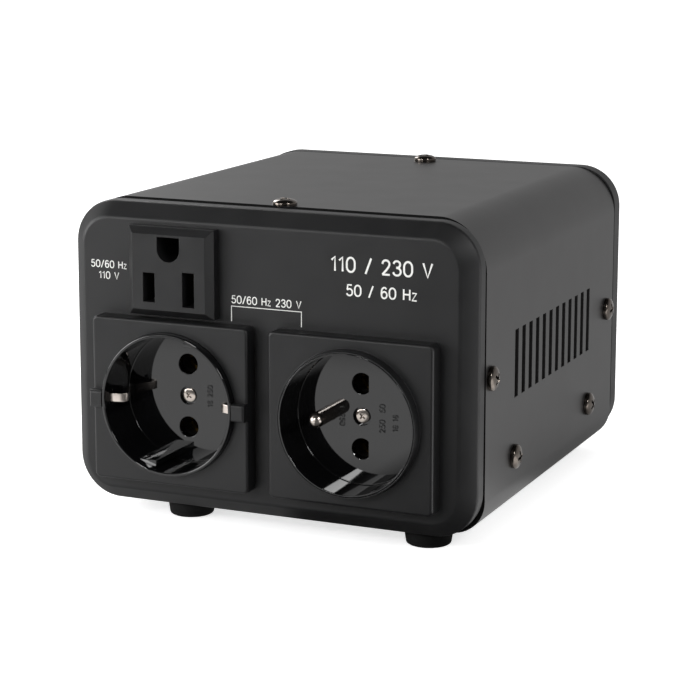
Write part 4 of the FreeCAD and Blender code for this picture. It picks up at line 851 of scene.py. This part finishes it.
# outlines in cap heights; "round" lines bend smoothly through their points
glyphs = {
    " ": {"width": 0.34, "lines": []},
    "/": {"width": 0.42, "lines": [("straight", (0, -0.06), (0.42, 1.06))]},
    "0": {"width": 0.6, "lines": [("ring", (0.3, 0), (0.08, 0.12), (0, 0.5), (0.08, 0.88), (0.3, 1),
                                   (0.52, 0.88), (0.6, 0.5), (0.52, 0.12))]},
    "1": {"width": 0.34, "lines": [("straight", (0, 0.76), (0.26, 1), (0.26, 0))]},
    "2": {"width": 0.58, "lines": [("round", (0.02, 0.74), (0.1, 0.93), (0.3, 1), (0.5, 0.9), (0.54, 0.7),
                                    (0.42, 0.46), (0.02, 0)), ("straight", (0.02, 0), (0.58, 0))]},
    "3": {"width": 0.58, "lines": [("round", (0.03, 0.8), (0.13, 0.95), (0.29, 1), (0.47, 0.92),
                                    (0.52, 0.76), (0.44, 0.59), (0.24, 0.54)),
                                   ("round", (0.24, 0.54), (0.48, 0.46), (0.57, 0.27), (0.48, 0.07),
                                    (0.28, 0), (0.1, 0.06), (0.01, 0.22))]},
    "5": {"width": 0.58, "lines": [("straight", (0.52, 1), (0.12, 1), (0.06, 0.54)),
                                   ("round", (0.06, 0.54), (0.28, 0.63), (0.49, 0.54), (0.57, 0.32),
                                    (0.48, 0.08), (0.27, 0), (0.09, 0.06), (0.01, 0.2))]},
    "6": {"width": 0.58, "lines": [("round", (0.52, 0.86), (0.42, 0.97), (0.29, 1), (0.11, 0.87),
                                    (0.03, 0.58), (0.03, 0.3), (0.12, 0.07), (0.3, 0), (0.49, 0.09),
                                    (0.56, 0.31), (0.48, 0.53), (0.3, 0.61), (0.12, 0.52), (0.03, 0.34))]},
    "H": {"width": 0.6, "lines": [("straight", (0, 0), (0, 1)), ("straight", (0.6, 0), (0.6, 1)),
                                  ("straight", (0, 0.52), (0.6, 0.52))]},
    "V": {"width": 0.66, "lines": [("straight", (0, 1), (0.33, 0), (0.66, 1))]},
    "z": {"width": 0.42, "lines": [("straight", (0.02, 0.68), (0.42, 0.68), (0, 0), (0.44, 0))]},
}
glyphGap = 0.24


def wordLines(words, cap):
    # every line of the words in mm, centred on their middle
    width = sum(glyphs[c]["width"] for c in words) + glyphGap * (len(words) - 1)
    lines = []
    start = -width / 2
    for c in words:
        for kind, *points in glyphs[c]["lines"]:
            lines.append((kind, [((start + u) * cap, (v - 0.5) * cap) for u, v in points]))
        start += glyphs[c]["width"] + glyphGap
    return lines


def stroked(name, lines, spot, stroke, proud, finish, turn=0, about=0):
    # flattened strokes on a face that looks along -Y, or about degrees further round; turn tilts the words
    curve = bpy.data.curves.new(name, "CURVE")
    curve.dimensions = "3D"
    curve.bevel_depth = stroke / 2 * mm
    curve.bevel_resolution = 2
    curve.resolution_u = 5
    curve.use_fill_caps = True
    for kind, points in lines:
        spline = curve.splines.new("BEZIER")
        spline.bezier_points.add(len(points) - 1)
        spline.use_cyclic_u = kind == "ring"
        for knot, (u, v) in zip(spline.bezier_points, points):
            knot.co = (u * mm, 0, v * mm)
            knot.handle_left_type = "VECTOR" if kind == "straight" else "AUTO"
            knot.handle_right_type = knot.handle_left_type
    drawn = bpy.data.objects.new(name, curve)
    bpy.context.collection.objects.link(drawn)
    graph = bpy.context.evaluated_depsgraph_get()
    mesh = bpy.data.meshes.new_from_object(drawn.evaluated_get(graph))
    bpy.data.objects.remove(drawn)
    flat = Matrix.Scale(2 * proud / stroke, 4, (0, 1, 0))
    facing = Matrix.Rotation(math.radians(about), 4, "Z")
    tilt = Matrix.Rotation(math.radians(turn), 4, "Y")
    mesh.transform(Matrix.Translation(Vector(spot) * mm) @ facing @ tilt @ flat)
    piece = pieceOf(name, mesh, finish)
    smoothed(piece, angle=60)
    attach(piece, "case")


ink = {"proud": 0.03, "stroke": 0.31, "fine": 0.3}
# words, x, z, height of the capitals in mm, and how much bolder than the thinnest they are
printedWords = {
    "left_upper": ("50/60 Hz", -50.5, 76.3, 2.0, 1), "left_lower": ("110 V", -50.5, 73.0, 2.0, 1),
    "middle": ("50/60 Hz 230 V", 0.4, 69.0, 2.1, 1), "block_upper": ("110 / 230 V", 35.8, 81.6, 4.0, 1.85),
    "block_lower": ("50 / 60 Hz", 35.8, 74.4, 3.0, 1.5),
}
panelY = place["frontPanel"]
for key, (words, x, z, cap, bolder) in printedWords.items():
    stroked("print_" + key, wordLines(words, cap), (x, panelY, z), ink["stroke"] * bolder, ink["proud"],
            "whiteInk")

bracket = [("straight", [(-10.6, 62.6), (-10.6, 67.0), (11.4, 67.0), (11.4, 62.6)])]
stroked("print_bracket", bracket, (0, panelY, 0), ink["fine"], ink["proud"], "whiteInk")

rearWords = {"selector": ("110 / 230 V", -2.0, 74.5, 2.4), "inlet": ("50 / 60 Hz", 26.0, 45.5, 2.2),
             "fuse": ("5 / 250", 38.0, 75.5, 2.2)}
for key, (words, x, z, cap) in rearWords.items():
    stroked("print_rear_" + key, wordLines(words, cap), (x, place["rearPanel"], z), ink["stroke"],
            ink["proud"], "whiteInk", about=180)

moulded = {"proud": 0.2, "stroke": 0.34}
# words, x, z, height of the capitals, the cup's depth, and the turn of the words in degrees
mouldedWords = {
    "german": ("16 250", -21.2, 38.0, 1.5, "germanDepth", -90),
    "french_left": ("16 250", 22.3, 37.5, 1.5, "frenchDepth", 90),
    "french_inner": ("250  50", 34.6, 37.5, 1.6, "frenchDepth", -90),
    "french_outer": ("16 16", 38.6, 36.5, 1.5, "frenchDepth", -90),
}
for key, (words, x, z, cap, depth, turn) in mouldedWords.items():
    floor = place["plateFace"] + cupSizes[depth]
    stroked("moulded_" + key, wordLines(words, cap), (x, floor, z), moulded["stroke"], moulded["proud"],
            "polishedUrea", turn)
print("stage: numbers")


# Floor, lamps and world

studio = {
    "paper": "#f4f4f4", "tableShown": 0.66, "fill": 0.55, "floorHalf": 6,
    # brightness in mirrors by compass direction: 0 is the front, 90 the right
    "table": [(-180, 0.62), (-112, 0.62), (-100, 1.2), (-36, 1.2), (-30, 1.26), (0, 1.22), (6, 0.15),
              (46, 0.15), (52, 2.3), (84, 2.3), (98, 1.0), (114, 0.8), (140, 0.62), (180, 0.62)],
    "low": [(-180, 0.5), (-112, 0.5), (-100, 0.5), (-24, 0.5), (-16, 0.15), (46, 0.15), (54, 0.5),
            (180, 0.62)],
    "high": [(-180, 0.5), (-112, 0.5), (-100, 1.2), (-50, 0.2), (-16, 0.05), (100, 0.1), (120, 0.3),
             (180, 0.5)],
    "top": 0.03,
    # heights at which low gives way to high, and high to top: 0 is level, 1 straight up
    "lowEnd": (0.25, 0.4), "highEnd": (0.6, 0.8),
    # the table is darker under the part, in metres from its middle, and the shade is longer in depth
    "shadeStart": 0.05, "shadeEnd": 0.14, "shade": 0.26, "squeeze": (1.0, 0.8, 1.0),
    # the front of the table is lit near the part and falls off in front of it
    "farStart": 0.26, "farEnd": 0.36, "far": 0.1,
}

# softboxes: compass direction, height angle, distance and size in metres, power in watts
lamps = {
    "hotLamp": {"azimuth": -12, "height": 26, "distance": 1.2, "size": 0.16, "power": 2.6},
    "softLamp": {"azimuth": -30, "height": 16, "distance": 1.0, "size": 0.3, "power": 0.7},
    "rightLamp": {"azimuth": 60, "height": 32, "distance": 0.9, "size": 0.2, "power": 2.0},
    "rearLamp": {"azimuth": -128, "height": 30, "distance": 1.0, "size": 0.4, "power": 4.0},
    "sideLamp": {"azimuth": -58, "height": 12, "distance": 0.52, "size": 0.24, "power": 1.4},
}
lampAim = (0, -0.07, 0.05)


def compass(material, axes, levels):
    # brightness by direction round the part, from a list of (degrees, level), and how far ahead of its
    # middle the direction or place lies
    ahead = addNode(material, "ShaderNodeMath", {"operation": "MULTIPLY", 1: -1.0}, {0: axes.outputs["Y"]})
    angle = addNode(material, "ShaderNodeMath", {"operation": "ARCTAN2"},
                    {0: axes.outputs["X"], 1: ahead.outputs[0]})
    share = addNode(material, "ShaderNodeMapRange", {"From Min": -math.pi, "From Max": math.pi},
                    {"Value": angle.outputs[0]})
    peak = max(level for degrees, level in levels)
    ramp = addNode(material, "ShaderNodeValToRGB", None, {0: share.outputs[0]})
    stops = ramp.color_ramp.elements
    while len(stops) < len(levels):
        stops.new(0.5)
    for stop, (degrees, level) in zip(stops, levels):
        stop.position = degrees / 360 + 0.5
        stop.color = (level / peak, level / peak, level / peak, 1)
    level = addNode(material, "ShaderNodeMath", {"operation": "MULTIPLY", 1: peak}, {0: ramp.outputs[0]})
    return level.outputs[0], ahead.outputs[0]


def mirroredOnly(material):
    # 1 in mirrors and through glass, 0 elsewhere
    rays = addNode(material, "ShaderNodeLightPath")
    mirrored = addNode(material, "ShaderNodeMath", {"operation": "MAXIMUM"},
                       {0: rays.outputs["Is Glossy Ray"], 1: rays.outputs["Is Transmission Ray"]})
    return rays, mirrored.outputs[0]


def makeFloor():
    mesh = bpy.data.meshes.new("floor")
    half = studio["floorHalf"]
    mesh.from_pydata([(-half, -half, 0), (half, -half, 0), (half, half, 0), (-half, half, 0)], [],
                     [(0, 1, 2, 3)])
    floor = bpy.data.objects.new("floor", mesh)
    bpy.context.collection.objects.link(floor)
    material = bpy.data.materials.new("paperSweep")
    material.use_nodes = True
    material.node_tree.nodes.clear()
    rays, mirrored = mirroredOnly(material)
    spot = addNode(material, "ShaderNodeTexCoord").outputs["Object"]
    axes = addNode(material, "ShaderNodeSeparateXYZ", None, {0: spot})
    level, ahead = compass(material, axes, studio["table"])
    flatter = addNode(material, "ShaderNodeVectorMath", {"operation": "MULTIPLY", 1: studio["squeeze"]},
                      {0: spot})
    reach = addNode(material, "ShaderNodeVectorMath", {"operation": "LENGTH"}, {0: flatter.outputs[0]})
    near = addNode(material, "ShaderNodeMapRange",
                   {"interpolation_type": "SMOOTHSTEP", "From Min": studio["shadeStart"],
                    "From Max": studio["shadeEnd"], "To Min": studio["shade"], "To Max": 1.0},
                   {"Value": reach.outputs["Value"]})
    far = addNode(material, "ShaderNodeMapRange",
                  {"interpolation_type": "SMOOTHSTEP", "From Min": studio["farStart"],
                   "From Max": studio["farEnd"], "To Min": 1.0, "To Max": studio["far"]}, {"Value": ahead})
    fall = addNode(material, "ShaderNodeMath", {"operation": "MULTIPLY"},
                   {0: near.outputs[0], 1: far.outputs[0]})
    fallen = addNode(material, "ShaderNodeMath", {"operation": "MULTIPLY"}, {0: level, 1: fall.outputs[0]})
    glow = addNode(material, "ShaderNodeMath", {"operation": "MULTIPLY"},
                   {0: mirrored, 1: fallen.outputs[0]})
    shown = addNode(material, "ShaderNodeMath", {"operation": "MULTIPLY_ADD", 1: studio["tableShown"]},
                    {0: rays.outputs["Is Camera Ray"], 2: glow.outputs[0]})
    paper = addNode(material, "ShaderNodeBsdfDiffuse", {"Color": tint(studio["paper"])})
    unlit = addNode(material, "ShaderNodeBsdfDiffuse", {"Color": (0, 0, 0, 1)})
    side = addNode(material, "ShaderNodeMixShader", None,
                   {0: mirrored, 1: paper.outputs[0], 2: unlit.outputs[0]})
    light = addNode(material, "ShaderNodeEmission", {"Color": (1, 1, 1, 1)}, {"Strength": shown.outputs[0]})
    both = addNode(material, "ShaderNodeAddShader", None, {0: side.outputs[0], 1: light.outputs[0]})
    addNode(material, "ShaderNodeOutputMaterial", None, {"Surface": both.outputs[0]})
    mesh.materials.append(material)


def makeWorld():
    world = bpy.data.worlds.new("studio")
    world.use_nodes = True
    bpy.context.scene.world = world
    world.node_tree.nodes.clear()
    rays, mirrored = mirroredOnly(world)
    towards = addNode(world, "ShaderNodeTexCoord").outputs["Generated"]
    axes = addNode(world, "ShaderNodeSeparateXYZ", None, {0: towards})
    lower, upper = [addNode(world, "ShaderNodeMapRange",
                            {"interpolation_type": "SMOOTHSTEP", "From Min": start, "From Max": end},
                            {"Value": axes.outputs["Z"]}).outputs[0]
                    for start, end in (studio["lowEnd"], studio["highEnd"])]
    low, high = [compass(world, axes, studio[zone])[0] for zone in ("low", "high")]
    sides = addNode(world, "ShaderNodeMix", {"data_type": "FLOAT"}, {0: lower, 2: low, 3: high})
    walls = addNode(world, "ShaderNodeMix", {"data_type": "FLOAT", 3: studio["top"]},
                    {0: upper, 2: sides.outputs[0]})
    seen = addNode(world, "ShaderNodeMix", {"data_type": "FLOAT", 2: studio["fill"]},
                   {0: mirrored, 3: walls.outputs[0]})
    shown = addNode(world, "ShaderNodeMath", {"operation": "MAXIMUM"},
                    {0: seen.outputs[0], 1: rays.outputs["Is Camera Ray"]})
    sky = addNode(world, "ShaderNodeBackground", {"Color": (1, 1, 1, 1)}, {"Strength": shown.outputs[0]})
    addNode(world, "ShaderNodeOutputWorld", None, {"Surface": sky.outputs[0]})


def addLamp(name, azimuth, height, distance, size, power):
    data = bpy.data.lights.new(name, "AREA")
    data.shape = "SQUARE"
    data.size = size
    data.energy = power
    lamp = bpy.data.objects.new(name, data)
    flat = math.cos(math.radians(height))
    away = Vector((math.sin(math.radians(azimuth)) * flat, -math.cos(math.radians(azimuth)) * flat,
                   math.sin(math.radians(height))))
    spot = Vector(lampAim) + away * distance
    lamp.matrix_world = Matrix.Translation(spot) @ away.to_track_quat("Z", "Y").to_matrix().to_4x4()
    bpy.context.collection.objects.link(lamp)


makeFloor()
makeWorld()
for name, settings in lamps.items():
    addLamp(name, **settings)
bpy.context.scene.view_settings.view_transform = "Standard"
print("stage: floor and light")
